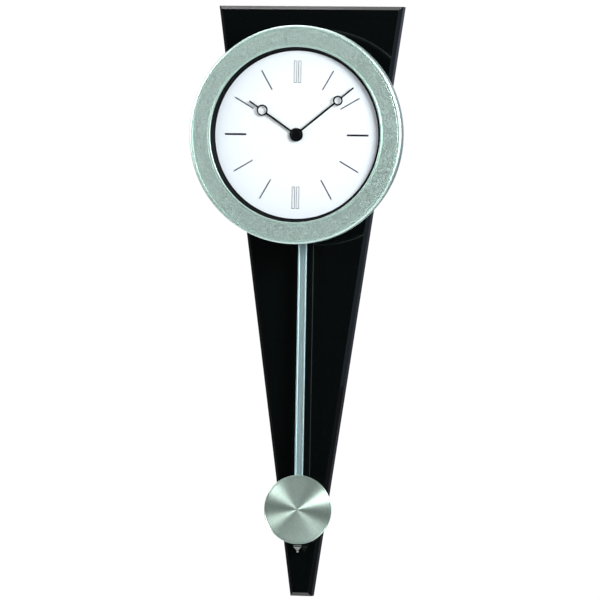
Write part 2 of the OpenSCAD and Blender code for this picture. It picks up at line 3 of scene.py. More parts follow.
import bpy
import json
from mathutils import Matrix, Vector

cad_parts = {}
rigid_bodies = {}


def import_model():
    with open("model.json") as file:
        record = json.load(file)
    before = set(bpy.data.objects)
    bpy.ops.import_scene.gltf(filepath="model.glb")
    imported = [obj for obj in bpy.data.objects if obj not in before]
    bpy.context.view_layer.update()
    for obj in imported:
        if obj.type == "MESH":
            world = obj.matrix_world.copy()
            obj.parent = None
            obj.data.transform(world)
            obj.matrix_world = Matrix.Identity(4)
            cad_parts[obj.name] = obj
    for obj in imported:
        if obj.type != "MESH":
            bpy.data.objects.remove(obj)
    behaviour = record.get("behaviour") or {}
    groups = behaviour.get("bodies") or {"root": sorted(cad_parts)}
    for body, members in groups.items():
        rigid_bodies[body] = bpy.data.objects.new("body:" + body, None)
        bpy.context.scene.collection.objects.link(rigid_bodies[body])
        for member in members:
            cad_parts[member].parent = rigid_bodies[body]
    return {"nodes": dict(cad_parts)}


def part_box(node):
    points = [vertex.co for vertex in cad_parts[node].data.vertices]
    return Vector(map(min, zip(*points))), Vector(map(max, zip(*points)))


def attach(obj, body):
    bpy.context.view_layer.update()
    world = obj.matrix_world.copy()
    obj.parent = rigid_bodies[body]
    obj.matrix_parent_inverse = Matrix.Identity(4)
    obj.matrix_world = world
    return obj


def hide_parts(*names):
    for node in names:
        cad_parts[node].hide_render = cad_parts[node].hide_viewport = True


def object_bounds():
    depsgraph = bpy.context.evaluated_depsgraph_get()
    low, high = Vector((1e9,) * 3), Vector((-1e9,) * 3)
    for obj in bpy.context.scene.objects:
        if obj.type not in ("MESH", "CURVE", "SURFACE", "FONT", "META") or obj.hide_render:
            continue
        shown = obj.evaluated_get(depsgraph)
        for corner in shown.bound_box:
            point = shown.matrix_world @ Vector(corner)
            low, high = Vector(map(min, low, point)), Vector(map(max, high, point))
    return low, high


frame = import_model()
CAD_BOX = [list(corner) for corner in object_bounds()]

import json
import logging
import math
from dataclasses import dataclass, field
from enum import Enum
from typing import Optional, Sequence

import bmesh
import bpy
from mathutils import Matrix, Vector

LOG = logging.getLogger("clock")
MM = 0.001
TURN = 2 * math.pi
MERGE = 2e-6
ON_AXIS = 1e-7
UV_NAME = "Turned"
MAP_PER_METRE = 10
CASE_SCREW_R = 82
CASE_SCREW_ANGLES = (40, 140, 230, 310)
PLATE_SCREW_X = 21
HOOK_RISE = 104
NOISE_SPAN = (0.3, 0.7)
KEEP_ALL = 1000
MADE: dict[str, bpy.types.Material] = {}

Point2 = tuple[float, float]
Corner = tuple[float, float, float]
Colour = tuple[float, float, float]


class Axis(Enum):
    """The way that the axis of a turned piece points."""

    FRONT = "front"
    UP = "up"


class Pattern(Enum):
    """What a finish's fine pattern follows."""

    EVEN = "even"
    ALONG_UP = "along up"


# ---------------------------------------------------------------- mesh making


def dial_centre() -> Vector:
    """Returns the dial's centre on the wall plane."""
    low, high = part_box("dial_plate")
    return Vector(((low.x + high.x) / 2, 0.0, (low.z + high.z) / 2))


def depth_span(node: str) -> tuple[float, float]:
    """Gives how far a node stands in front of the wall.

    Args:
        node: the CAD node's name.

    Returns:
        The depths of its back and its front, in metres.
    """
    low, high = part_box(node)
    return -high.y, -low.y


def middle_of(node: str) -> Vector:
    """Returns the middle of a node's box."""
    low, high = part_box(node)
    return (low + high) / 2


def half_width(node: str) -> float:
    """Returns half of a node's width, in metres."""
    low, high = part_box(node)
    return (high.x - low.x) / 2


def in_metres(run: Sequence[Corner]) -> list[Corner]:
    """Turns corners and their rounding radii from millimetres into metres."""
    return [(r * MM, d * MM, s * MM) for r, d, s in run]


def as_object(name: str, bm: bmesh.types.BMesh) -> bpy.types.Object:
    """Turns a finished bmesh into an object in the scene.

    Args:
        name: the object's name.
        bm: the mesh, which is freed.

    Returns:
        The new object, at the origin.
    """
    mesh = bpy.data.meshes.new(name)
    bm.to_mesh(mesh)
    bm.free()
    made = bpy.data.objects.new(name, mesh)
    bpy.context.scene.collection.objects.link(made)
    return made


def soft_edges(piece: bpy.types.Object, angle_deg: float = 32.0) -> bpy.types.Object:
    """Shades a piece smooth, apart from edges sharper than an angle.

    Args:
        piece: the mesh object.
        angle_deg: the angle above which an edge stays sharp.

    Returns:
        The same object.
    """
    piece.data.shade_smooth()
    piece.data.set_sharp_from_angle(angle=math.radians(angle_deg))
    return piece


def finished(piece: bpy.types.Object) -> bpy.types.Object:
    """Makes a piece's modifiers part of its mesh.

    Args:
        piece: the object with live modifiers.

    Returns:
        The same object, with none.
    """
    bpy.context.view_layer.update()
    graph = bpy.context.evaluated_depsgraph_get()
    mesh = bpy.data.meshes.new_from_object(
        piece.evaluated_get(graph), preserve_all_data_layers=True, depsgraph=graph
    )
    old = piece.data
    piece.modifiers.clear()
    piece.data = mesh
    mesh.name = piece.name
    if old.users == 0:
        bpy.data.meshes.remove(old)
    return piece


def discard(*pieces: bpy.types.Object) -> None:
    """Removes helper objects and their data."""
    for piece in pieces:
        data = piece.data
        bpy.data.objects.remove(piece)
        if isinstance(data, bpy.types.Mesh) and data.users == 0:
            bpy.data.meshes.remove(data)


def cut_away(piece: bpy.types.Object, cutters: Sequence[bpy.types.Object]) -> bpy.types.Object:
    """Cuts helper solids out of a piece.

    Args:
        piece: the solid to cut.
        cutters: closed solids, which are removed afterwards.

    Returns:
        The cut piece.
    """
    for cutter in cutters:
        step = piece.modifiers.new("Cut", "BOOLEAN")
        step.operation = "DIFFERENCE"
        step.solver = "EXACT"
        step.object = cutter
    finished(piece)
    discard(*cutters)
    return piece


def joined(name: str, parts: Sequence[bpy.types.Object]) -> bpy.types.Object:
    """Puts several solids of one piece into one mesh, with their materials and maps.

    Args:
        name: the name of the result.
        parts: the objects, of which the first is kept.

    Returns:
        The joined object.
    """
    first = parts[0]
    with bpy.context.temp_override(
        active_object=first, object=first, selected_editable_objects=list(parts),
        selected_objects=list(parts),
    ):
        bpy.ops.object.join()
    first.name = name
    first.data.name = name
    return first


def rounded(corners: Sequence[Corner], closed: bool = True, steps: int = 4) -> list[Point2]:
    """Rounds the corners of a line.

    Args:
        corners: each corner's two coordinates and its rounding radius.
        closed: whether the last corner joins the first.
        steps: how many pieces each arc has.

    Returns:
        The line's points.
    """
    line: list[Point2] = []
    count = len(corners)
    for i, (x, y, radius) in enumerate(corners):
        here = Vector((x, y))
        if radius <= 0 or (not closed and i in (0, count - 1)):
            line.append((x, y))
            continue
        before = Vector(corners[i - 1][:2]) - here
        after = Vector(corners[(i + 1) % count][:2]) - here
        half = before.angle(after) / 2
        if abs(half - math.pi / 2) < 1e-3:
            line.append((x, y))
            continue
        reach = min(radius / math.tan(half), before.length * 0.49, after.length * 0.49)
        start = here + before.normalized() * reach
        end = here + after.normalized() * reach
        middle = (before.normalized() + after.normalized()).normalized()
        centre = here + middle * (reach / math.cos(half))
        a, b = start - centre, end - centre
        sweep = a.angle(b)
        for k in range(steps + 1):
            t = k / steps
            spot = centre + (a * math.sin((1 - t) * sweep) + b * math.sin(t * sweep)) / math.sin(sweep)
            line.append((spot.x, spot.y))
    return line


def round_box(x0: float, z0: float, x1: float, z1: float, radius: float, steps: int = 8) -> list[Point2]:
    """Draws a rectangle with round corners.

    Args:
        x0: the left side.
        z0: the lower side.
        x1: the right side.
        z1: the upper side.
        radius: the corners' radius.
        steps: how many pieces each corner has.

    Returns:
        The outline's points.
    """
    return rounded([(x0, z0, radius), (x1, z0, radius), (x1, z1, radius), (x0, z1, radius)], steps=steps)


def circle(x: float, z: float, radius: float, count: int = 48) -> list[Point2]:
    """Draws a circle.

    Args:
        x: its centre across.
        z: its centre in height.
        radius: its radius.
        count: how many points it has.

    Returns:
        Its points.
    """
    turns = [TURN * i / count for i in range(count)]
    return [(x + radius * math.cos(t), z + radius * math.sin(t)) for t in turns]


def arc(centre: Point2, radius: float, start: float, sweep: float, steps: int) -> list[Point2]:
    """Draws part of a circle.

    Args:
        centre: its centre.
        radius: its radius.
        start: the angle of its first point, in radians.
        sweep: how far it turns, in radians.
        steps: how many pieces it has.

    Returns:
        Its points, both ends among them.
    """
    turns = [start + sweep * k / steps for k in range(steps + 1)]
    return [(centre[0] + radius * math.cos(t), centre[1] + radius * math.sin(t)) for t in turns]


@dataclass
class Turned:
    """A turned piece: a profile of radius against distance along an axis, in metres.

    ribs serrates the profile's points from first to last rib point, depth deep.
    """

    profile: Sequence[Point2]
    centre: Vector
    axis: Axis = Axis.FRONT
    segments: int = 96
    closed: bool = False
    bands: Sequence[int] = ()
    ribs: int = 0
    rib_depth: float = 0.0
    rib_points: tuple[int, int] = (0, -1)

    def spot(self, index: int, turn: float) -> Vector:
        """Places one point of the profile, turned about the axis.

        Args:
            index: which point of the profile.
            turn: the angle in radians.

        Returns:
            Its place.
        """
        radius, along = self.profile[index]
        if self.ribs and self.rib_points[0] <= index <= self.rib_points[1]:
            radius -= self.rib_depth * (0.5 - 0.5 * math.cos(self.ribs * turn))
        across, other = radius * math.cos(turn), radius * math.sin(turn)
        if self.axis is Axis.FRONT:
            return Vector((self.centre.x + across, -along, self.centre.z + other))
        return Vector((self.centre.x + across, self.centre.y + other, along))

    def build(self, name: str) -> bpy.types.Object:
        """Makes the mesh, with a map whose first direction runs round the axis.

        Args:
            name: the object's name.

        Returns:
            The closed mesh object.
        """
        bm = bmesh.new()
        layer = bm.loops.layers.uv.new(UV_NAME)
        rings: list[list[bmesh.types.BMVert]] = []
        turns = [TURN * k / self.segments for k in range(self.segments)]
        for i, (radius, _) in enumerate(self.profile):
            if radius < ON_AXIS:
                rings.append([bm.verts.new(self.spot(i, 0.0))])
            else:
                rings.append([bm.verts.new(self.spot(i, t)) for t in turns])
        lengths = [0.0]
        for a, b in zip(self.profile, [*self.profile[1:], self.profile[0]]):
            lengths.append(lengths[-1] + math.hypot(b[0] - a[0], b[1] - a[1]))
        spans = len(self.profile) if self.closed else len(self.profile) - 1
        for i in range(spans):
            low, high = rings[i], rings[(i + 1) % len(rings)]
            band = self.bands[i] if i < len(self.bands) else 0
            for k in range(self.segments):
                self.face(bm, layer, low, high, k, (lengths[i], lengths[i + 1]), band)
        bmesh.ops.recalc_face_normals(bm, faces=bm.faces)
        return soft_edges(as_object(name, bm))

    def face(
        self, bm: bmesh.types.BMesh, layer: bmesh.types.BMLayerItem,
        low: list[bmesh.types.BMVert], high: list[bmesh.types.BMVert],
        k: int, ways: Point2, band: int,
    ) -> None:
        """Adds one face between two rings.

        Args:
            bm: the mesh.
            layer: its map.
            low: the first ring, or a single pole.
            high: the second ring, or a single pole.
            k: which segment.
            ways: the distances along the profile at both rings.
            band: the face's material number.
        """
        if len(low) == 1 and len(high) == 1:
            return
        after = (k + 1) % self.segments
        u0, u1 = k / self.segments, (k + 1) / self.segments
        if len(low) == 1:
            corners = [(low[0], (u0 + u1) / 2, ways[0]), (high[k], u0, ways[1]), (high[after], u1, ways[1])]
        elif len(high) == 1:
            corners = [(low[after], u1, ways[0]), (low[k], u0, ways[0]), (high[0], (u0 + u1) / 2, ways[1])]
        else:
            corners = [
                (low[k], u0, ways[0]), (low[after], u1, ways[0]),
                (high[after], u1, ways[1]), (high[k], u0, ways[1]),
            ]
        face = bm.faces.new([c[0] for c in corners])
        face.material_index = band
        for loop in face.loops:
            for vert, u, v in corners:
                if loop.vert == vert:
                    loop[layer].uv = (u, v * MAP_PER_METRE)


@dataclass
class Plate:
    """A flat piece drawn in x and z, with its edges rounded, in metres."""

    outlines: Sequence[Sequence[Point2]]
    back: float
    front: float
    soften: float = 0.1 * MM
    rounding: int = 2

    def build(self, name: str) -> bpy.types.Object:
        """Makes the mesh; inner outlines are holes.

        Args:
            name: the object's name.

        Returns:
            The closed mesh object.
        """
        curve = bpy.data.curves.new(name, "CURVE")
        curve.dimensions = "2D"
        curve.fill_mode = "BOTH"
        curve.extrude = (self.front - self.back) / 2 - self.soften
        curve.bevel_depth = self.soften
        curve.bevel_resolution = self.rounding
        curve.offset = -self.soften
        for outline in self.outlines:
            line = curve.splines.new("POLY")
            line.points.add(len(outline) - 1)
            for point, (x, z) in zip(line.points, outline):
                point.co = (x, z, 0.0, 1.0)
            line.use_cyclic_u = True
        holder = bpy.data.objects.new(name, curve)
        mesh = bpy.data.meshes.new_from_object(holder)
        bpy.data.objects.remove(holder)
        bpy.data.curves.remove(curve)
        bm = bmesh.new()
        bm.from_mesh(mesh)
        bpy.data.meshes.remove(mesh)
        middle = (self.back + self.front) / 2
        for vert in bm.verts:
            x, z, out = vert.co
            vert.co = (x, -middle - out, z)
        bmesh.ops.remove_doubles(bm, verts=bm.verts, dist=MERGE)
        bmesh.ops.recalc_face_normals(bm, faces=bm.faces)
        for face in bm.faces:
            face.material_index = 0
        return soft_edges(as_object(name, bm))


def bridged(
    bm: bmesh.types.BMesh, rings: Sequence[Sequence[bmesh.types.BMVert]]
) -> list[bmesh.types.BMFace]:
    """Caps the first and the last of a stack of rings and walls the stretches between them.

    Args:
        bm: the mesh.
        rings: the rings in order, each with the same number of points.

    Returns:
        The wall faces, ring by ring, with each ring's faces in the order of its points.
    """
    bm.faces.new(rings[0])
    bm.faces.new(rings[-1])
    walls = []
    for a, b in zip(rings, rings[1:]):
        for i in range(len(a)):
            after = (i + 1) % len(a)
            walls.append(bm.faces.new((a[i], a[after], b[after], b[i])))
    bmesh.ops.recalc_face_normals(bm, faces=bm.faces)
    return walls


def bevelled(bm: bmesh.types.BMesh, edges: Sequence[bmesh.types.BMEdge], width: float, steps: int) -> None:
    """Rounds edges of a mesh.

    Args:
        bm: the mesh.
        edges: the edges to round.
        width: how far each is rounded.
        steps: how many strips each one gets.
    """
    bmesh.ops.bevel(
        bm, geom=edges, offset=width, segments=steps, profile=0.5, affect="EDGES", clamp_overlap=True
    )


def block(name: str, low: Vector, high: Vector, soften: float = 0.0) -> bpy.types.Object:
    """Makes a box with rounded edges, for cutters and small bars.

    Args:
        name: the object's name.
        low: its lowest corner.
        high: its highest corner.
        soften: the rounding of its edges.

    Returns:
        The mesh object.
    """
    bm = bmesh.new()
    bmesh.ops.create_cube(bm, size=1.0)
    size, middle = high - low, (high + low) / 2
    for vert in bm.verts:
        vert.co = Vector((vert.co.x * size.x, vert.co.y * size.y, vert.co.z * size.z)) + middle
    if soften > 0:
        bevelled(bm, bm.edges[:], soften, 3)
    bmesh.ops.recalc_face_normals(bm, faces=bm.faces)
    return soft_edges(as_object(name, bm))


def eased_copy(node: str, name: str, width: float, angle_deg: float) -> bpy.types.Object:
    """Copies a CAD node's shape and eases its sharp edges, as a mould or a tumbler does.

    Args:
        node: the CAD node's name.
        name: the new object's name.
        width: how far each edge is eased.
        angle_deg: the angle above which an edge counts as sharp.

    Returns:
        The new object.
    """
    bm = bmesh.new()
    bm.from_mesh(frame["nodes"][node].data)
    bmesh.ops.remove_doubles(bm, verts=bm.verts, dist=MERGE)
    bmesh.ops.dissolve_degenerate(bm, edges=bm.edges, dist=MERGE)
    bmesh.ops.dissolve_limit(bm, angle_limit=math.radians(0.5), verts=bm.verts, edges=bm.edges)
    sharp = [
        e for e in bm.edges
        if len(e.link_faces) == 2 and e.calc_face_angle(0.0) > math.radians(angle_deg)
    ]
    bevelled(bm, sharp, width, 2)
    for face in bm.faces:
        face.material_index = 0
    return soft_edges(as_object(name, bm))


# ---------------------------------------------------------------- repeated pieces


class TreeDesk:
    """Adds and joins nodes in one geometry node tree."""

    def __init__(self, name: str) -> None:
        """Starts an empty modifier tree under a name."""
        self.tree = bpy.data.node_groups.new(name, "GeometryNodeTree")
        self.tree.is_modifier = True
        self.ids: dict[str, str] = {}

    def value_in(self, label: str, kind: str) -> None:
        """Adds a named input of the given socket type."""
        made = self.tree.interface.new_socket(label, in_out="INPUT", socket_type=kind)
        self.ids[label] = made.identifier

    def add(self, kind: str, **settings: object) -> bpy.types.Node:
        """Adds a node.

        Args:
            kind: the node's type name.
            settings: attributes to set on it.

        Returns:
            The node.
        """
        node = self.tree.nodes.new(kind)
        for key, value in settings.items():
            setattr(node, key, value)
        return node

    def join(self, source: bpy.types.NodeSocket, target: bpy.types.NodeSocket) -> None:
        """Links one socket to another."""
        self.tree.links.new(source, target)

    def math(self, operation: str, *values: object) -> bpy.types.NodeSocket:
        """Adds a Math node.

        Args:
            operation: its operation.
            values: sockets or plain numbers for its inputs.

        Returns:
            Its output socket.
        """
        node = self.add("ShaderNodeMath", operation=operation)
        for i, value in enumerate(values):
            if isinstance(value, bpy.types.NodeSocket):
                self.join(value, node.inputs[i])
            else:
                node.inputs[i].default_value = float(value)
        return node.outputs[0]

    def set_out(self, instances: bpy.types.NodeSocket, finish: bpy.types.NodeSocket) -> None:
        """Ends the tree in real copies with their material.

        Args:
            instances: the instances to make real.
            finish: the material's socket.
        """
        self.tree.interface.new_socket("Pieces", in_out="OUTPUT", socket_type="NodeSocketGeometry")
        real = self.add("GeometryNodeRealizeInstances")
        dress = self.add("GeometryNodeSetMaterial")
        self.join(instances, real.inputs[0])
        self.join(real.outputs[0], dress.inputs["Geometry"])
        self.join(finish, dress.inputs["Material"])
        self.join(dress.outputs[0], self.add("NodeGroupOutput").inputs[0])


def run_tree(
    name: str, desk: TreeDesk, base: Optional[bpy.types.Mesh], values: dict[str, object],
) -> bpy.types.Object:
    """Runs a geometry node tree once and keeps its result as a plain mesh.

    Args:
        name: the result's name.
        desk: the tree and its inputs' identifiers.
        base: the mesh that the tree starts from, if it needs one.
        values: the inputs by their labels.

    Returns:
        The mesh object, without the modifier.
    """
    mesh = base or bpy.data.meshes.new(name)
    holder = bpy.data.objects.new(name, mesh)
    bpy.context.scene.collection.objects.link(holder)
    step = holder.modifiers.new("Pieces", "NODES")
    step.node_group = desk.tree
    for label, value in values.items():
        step[desk.ids[label]] = value
    finished(holder)
    bpy.data.node_groups.remove(desk.tree)
    holder.data.materials.clear()
    holder.data.materials.append(values["Finish"])
    for face in holder.data.polygons:
        face.material_index = 0
    return soft_edges(holder)


@dataclass
class RingOfPieces:
    """Copies of one item set round an axis that points to the front.

    The item lies along +X from the axis. leave_out skips every so many places, counted from
    counted_from, and KEEP_ALL skips none.
    """

    item: bpy.types.Object
    count: int
    centre: Vector
    start_deg: float = 0.0
    leave_out: int = KEEP_ALL
    counted_from: int = 1

    def build(self, name: str, finish: bpy.types.Material) -> bpy.types.Object:
        """Runs the tree.

        Args:
            name: the result's name.
            finish: the copies' material.

        Returns:
            The copies as one mesh.
        """
        desk = TreeDesk("Ring of " + name)
        for label, kind in (
            ("Item", "NodeSocketObject"), ("Count", "NodeSocketInt"), ("Start angle", "NodeSocketFloat"),
            ("Leave out every", "NodeSocketInt"), ("Counted from", "NodeSocketInt"),
            ("Centre", "NodeSocketVector"), ("Finish", "NodeSocketMaterial"),
        ):
            desk.value_in(label, kind)
        given = desk.add("NodeGroupInput").outputs
        index = desk.add("GeometryNodeInputIndex").outputs[0]
        step = desk.math("DIVIDE", TURN, given["Count"])
        angle = desk.math("ADD", given["Start angle"], desk.math("MULTIPLY", index, step))
        counted = desk.math("ADD", index, given["Counted from"])
        rest = desk.math("FLOORED_MODULO", counted, given["Leave out every"])
        keep = desk.math("GREATER_THAN", rest, 0.5)
        points = desk.add("GeometryNodePoints")
        desk.join(given["Count"], points.inputs["Count"])
        desk.join(given["Centre"], points.inputs["Position"])
        turn = desk.add("ShaderNodeCombineXYZ")
        desk.join(desk.math("MULTIPLY", angle, -1.0), turn.inputs["Y"])
        shape = desk.add("GeometryNodeObjectInfo")
        desk.join(given["Item"], shape.inputs["Object"])
        place = desk.add("GeometryNodeInstanceOnPoints")
        desk.join(points.outputs[0], place.inputs["Points"])
        desk.join(keep, place.inputs["Selection"])
        desk.join(shape.outputs["Geometry"], place.inputs["Instance"])
        desk.join(turn.outputs[0], place.inputs["Rotation"])
        desk.set_out(place.outputs[0], given["Finish"])
        made = run_tree(name, desk, None, {
            "Item": self.item, "Count": self.count, "Start angle": math.radians(self.start_deg),
            "Leave out every": self.leave_out, "Counted from": self.counted_from,
            "Centre": tuple(self.centre), "Finish": finish,
        })
        discard(self.item)
        return made


@dataclass
class PlacedPieces:
    """Copies of one item at stated places, each turned about the front axis."""

    item: bpy.types.Object
    places: Sequence[Vector]
    turns_deg: Sequence[float] = ()

    def build(self, name: str, finish: bpy.types.Material) -> bpy.types.Object:
        """Runs the tree.

        Args:
            name: the result's name.
            finish: the copies' material.

        Returns:
            The copies as one mesh.
        """
        base = bpy.data.meshes.new(name)
        base.from_pydata([tuple(p) for p in self.places], [], [])
        turns = base.attributes.new("turn", "FLOAT", "POINT")
        for i in range(len(self.places)):
            angle = self.turns_deg[i] if i < len(self.turns_deg) else 0.0
            turns.data[i].value = math.radians(angle)
        desk = TreeDesk("Placed " + name)
        desk.value_in("Places", "NodeSocketGeometry")
        desk.value_in("Item", "NodeSocketObject")
        desk.value_in("Size", "NodeSocketFloat")
        desk.value_in("Finish", "NodeSocketMaterial")
        given = desk.add("NodeGroupInput").outputs
        read = desk.add("GeometryNodeInputNamedAttribute", data_type="FLOAT")
        read.inputs["Name"].default_value = "turn"
        turn = desk.add("ShaderNodeCombineXYZ")
        desk.join(desk.math("MULTIPLY", read.outputs["Attribute"], -1.0), turn.inputs["Y"])
        shape = desk.add("GeometryNodeObjectInfo")
        desk.join(given["Item"], shape.inputs["Object"])
        place = desk.add("GeometryNodeInstanceOnPoints")
        desk.join(given["Places"], place.inputs["Points"])
        desk.join(shape.outputs["Geometry"], place.inputs["Instance"])
        desk.join(turn.outputs[0], place.inputs["Rotation"])
        desk.join(given["Size"], place.inputs["Scale"])
        desk.set_out(place.outputs[0], given["Finish"])
        made = run_tree(name, desk, base, {"Item": self.item, "Size": 1.0, "Finish": finish})
        discard(self.item)
        return made


# ---------------------------------------------------------------- finishes


class ShaderDesk:
    """Adds and joins nodes in one material."""

    def __init__(self, name: str) -> None:
        """Starts a material with a Principled shader under a name."""
        self.material = bpy.data.materials.new(name)
        self.material.use_nodes = True
        self.nodes = self.material.node_tree.nodes
        self.links = self.material.node_tree.links
        self.nodes.clear()
        self.output = self.nodes.new("ShaderNodeOutputMaterial")
        self.shader = self.nodes.new("ShaderNodeBsdfPrincipled")
        self.links.new(self.shader.outputs[0], self.output.inputs[0])
        self.coords = self.nodes.new("ShaderNodeTexCoord")

    def constants(self, **values: object) -> None:
        """Sets plain values on the shader's sockets; underscores in a key stand for spaces."""
        for key, value in values.items():
            if isinstance(value, tuple) and len(value) == 3:
                value = (*value, 1.0)
            self.shader.inputs[key.replace("_", " ")].default_value = value

    def placed(
        self, source: bpy.types.NodeSocket, move: Vector = Vector(), stretch: Colour = (1, 1, 1)
    ) -> bpy.types.NodeSocket:
        """Moves and stretches coordinates.

        Args:
            source: the coordinates.
            move: what is added after the stretch.
            stretch: the factor along each axis.

        Returns:
            The new coordinates.
        """
        node = self.nodes.new("ShaderNodeMapping")
        node.inputs["Location"].default_value = move
        node.inputs["Scale"].default_value = stretch
        self.links.new(source, node.inputs["Vector"])
        return node.outputs[0]

    def noise(
        self, where: bpy.types.NodeSocket, scale: float, detail: float = 2.0, rough: float = 0.5
    ) -> bpy.types.NodeSocket:
        """Adds noise.

        Args:
            where: its coordinates.
            scale: cells per metre.
            detail: how many finer layers.
            rough: how strong the finer layers are.

        Returns:
            Its grey output.
        """
        node = self.nodes.new("ShaderNodeTexNoise")
        node.inputs["Scale"].default_value = scale
        node.inputs["Detail"].default_value = detail
        node.inputs["Roughness"].default_value = rough
        self.links.new(where, node.inputs["Vector"])
        return node.outputs[0]

    def span(self, source: bpy.types.NodeSocket, low: float, high: float) -> bpy.types.NodeSocket:
        """Maps the usual reach of noise on to a range.

        Args:
            source: the grey value.
            low: the result at the low end.
            high: the result at the high end.

        Returns:
            The new value.
        """
        node = self.nodes.new("ShaderNodeMapRange")
        node.inputs["From Min"].default_value = NOISE_SPAN[0]
        node.inputs["From Max"].default_value = NOISE_SPAN[1]
        node.inputs["To Min"].default_value = low
        node.inputs["To Max"].default_value = high
        self.links.new(source, node.inputs["Value"])
        return node.outputs[0]

    def colours(
        self, source: bpy.types.NodeSocket, stops: Sequence[tuple[float, Colour]]
    ) -> bpy.types.NodeSocket:
        """Maps a grey value on to colours.

        Args:
            source: the grey value.
            stops: places and their colours.

        Returns:
            The colour.
        """
        node = self.nodes.new("ShaderNodeValToRGB")
        ramp = node.color_ramp
        while len(ramp.elements) < len(stops):
            ramp.elements.new(0.5)
        for element, (place, colour) in zip(ramp.elements, stops):
            element.position = place
            element.color = (*colour, 1.0)
        self.links.new(source, node.inputs[0])
        return node.outputs[0]

    def bump(self, height: bpy.types.NodeSocket, depth: float, strength: float = 1.0) -> None:
        """Feeds a height to the shader's normal.

        Args:
            height: the grey height.
            depth: how many metres its full range stands for.
            strength: how much of it shows.
        """
        node = self.nodes.new("ShaderNodeBump")
        node.inputs["Distance"].default_value = depth
        node.inputs["Strength"].default_value = strength
        self.links.new(height, node.inputs["Height"])
        self.feed(node.outputs[0], "Normal")

    def feed(self, source: bpy.types.NodeSocket, name: str) -> None:
        """Links a socket to one of the shader's inputs."""
        self.links.new(source, self.shader.inputs[name])

    def maths(self, operation: str, source: bpy.types.NodeSocket, value: float = 0.0) -> bpy.types.NodeSocket:
        """Adds a Math node on a socket and a plain number.

        Args:
            operation: its operation.
            source: its first input.
            value: its second input.

        Returns:
            Its output.
        """
        node = self.nodes.new("ShaderNodeMath")
        node.operation = operation
        node.inputs[1].default_value = value
        self.links.new(source, node.inputs[0])
        return node.outputs[0]

    def measured(self, operation: str, source: bpy.types.NodeSocket) -> bpy.types.Node:
        """Adds a Vector Math node on one vector."""
        node = self.nodes.new("ShaderNodeVectorMath")
        node.operation = operation
        self.links.new(source, node.inputs[0])
        return node

    def part(self, source: bpy.types.NodeSocket, axis: str) -> bpy.types.NodeSocket:
        """Takes one coordinate out of a vector."""
        node = self.nodes.new("ShaderNodeSeparateXYZ")
        self.links.new(source, node.inputs[0])
        return node.outputs[axis]

    def tangent_round(self) -> None:
        """Runs the shader's grain round the axis of a turned piece."""
        node = self.nodes.new("ShaderNodeTangent")
        node.direction_type = "UV_MAP"
        node.uv_map = UV_NAME
        self.feed(node.outputs[0], "Tangent")


def mottled(colour: Colour, variation: float) -> list[tuple[float, Colour]]:
    """Gives a colour's stops across the usual reach of noise.

    Args:
        colour: the middle colour.
        variation: how far it goes darker and lighter.

    Returns:
        The stops.
    """
    low, high = NOISE_SPAN
    return [(low, shade(colour, 1 - variation)), (high, shade(colour, 1 + variation))]


def shade(colour: Colour, factor: float) -> Colour:
    """Scales a colour.

    Args:
        colour: the colour.
        factor: what each channel is multiplied by.

    Returns:
        The new colour, held at 1.
    """
    return tuple(min(1.0, c * factor) for c in colour)


@dataclass(frozen=True)
class Finish:
    """A surface: its colour, gloss, grain and the scale of its pattern."""

    name: str
    colour: Colour
    roughness: float = 0.4
    metallic: float = 0.0
    variation: float = 0.06
    roughness_spread: float = 0.04
    grain: float = 900.0
    bump_depth: float = 0.0
    pattern: Pattern = Pattern.EVEN
    coat: float = 0.0
    coat_roughness: float = 0.05
    specular: float = 0.5

    def where(self, desk: ShaderDesk) -> bpy.types.NodeSocket:
        """Gives the coordinates that the grain follows.

        Args:
            desk: the material.

        Returns:
            The coordinates.
        """
        if self.pattern is Pattern.ALONG_UP:
            return desk.placed(desk.coords.outputs["Object"], stretch=(1, 1, 0.02))
        return desk.coords.outputs["Object"]

    def material(self) -> bpy.types.Material:
        """Makes the material, once.

        Returns:
            The material.
        """
        if self.name in MADE:
            return MADE[self.name]
        desk = ShaderDesk(self.name)
        MADE[self.name] = desk.material
        desk.constants(
            Metallic=self.metallic, Coat_Weight=self.coat, Coat_Roughness=self.coat_roughness,
            Specular_IOR_Level=self.specular,
        )
        grain = desk.noise(self.where(desk), self.grain, 3.0, 0.6)
        desk.feed(desk.colours(grain, mottled(self.colour, self.variation)), "Base Color")
        low = max(0.02, self.roughness - self.roughness_spread)
        desk.feed(desk.span(grain, low, self.roughness + self.roughness_spread), "Roughness")
        if self.bump_depth:
            desk.bump(grain, self.bump_depth)
        return desk.material


@dataclass(frozen=True)
class ClearGlass:
    """Flat mineral glass that lets the studio light through."""

    name: str = "mineral_glass"
    tint: Colour = (0.882, 0.893, 0.899)
    falloff: float = 5.0
    smear_scale: float = 30.0

    def material(self) -> bpy.types.Material:
        """Makes the material.

        Returns:
            The material.
        """
        desk = ShaderDesk(self.name)
        desk.constants(Base_Color=(0.02, 0.02, 0.02))
        clear = desk.nodes.new("ShaderNodeBsdfTransparent")
        clear.inputs[0].default_value = (*self.tint, 1.0)
        slant = desk.nodes.new("ShaderNodeLayerWeight")
        slant.inputs["Blend"].default_value = 0.5
        gloss = desk.maths("POWER", slant.outputs["Facing"], self.falloff)
        mix = desk.nodes.new("ShaderNodeMixShader")
        desk.links.new(gloss, mix.inputs[0])
        desk.links.new(clear.outputs[0], mix.inputs[1])
        desk.links.new(desk.shader.outputs[0], mix.inputs[2])
        desk.links.new(mix.outputs[0], desk.output.inputs[0])
        smears = desk.noise(desk.coords.outputs["Object"], self.smear_scale)
        desk.feed(desk.span(smears, 0.01, 0.04), "Roughness")
        return desk.material


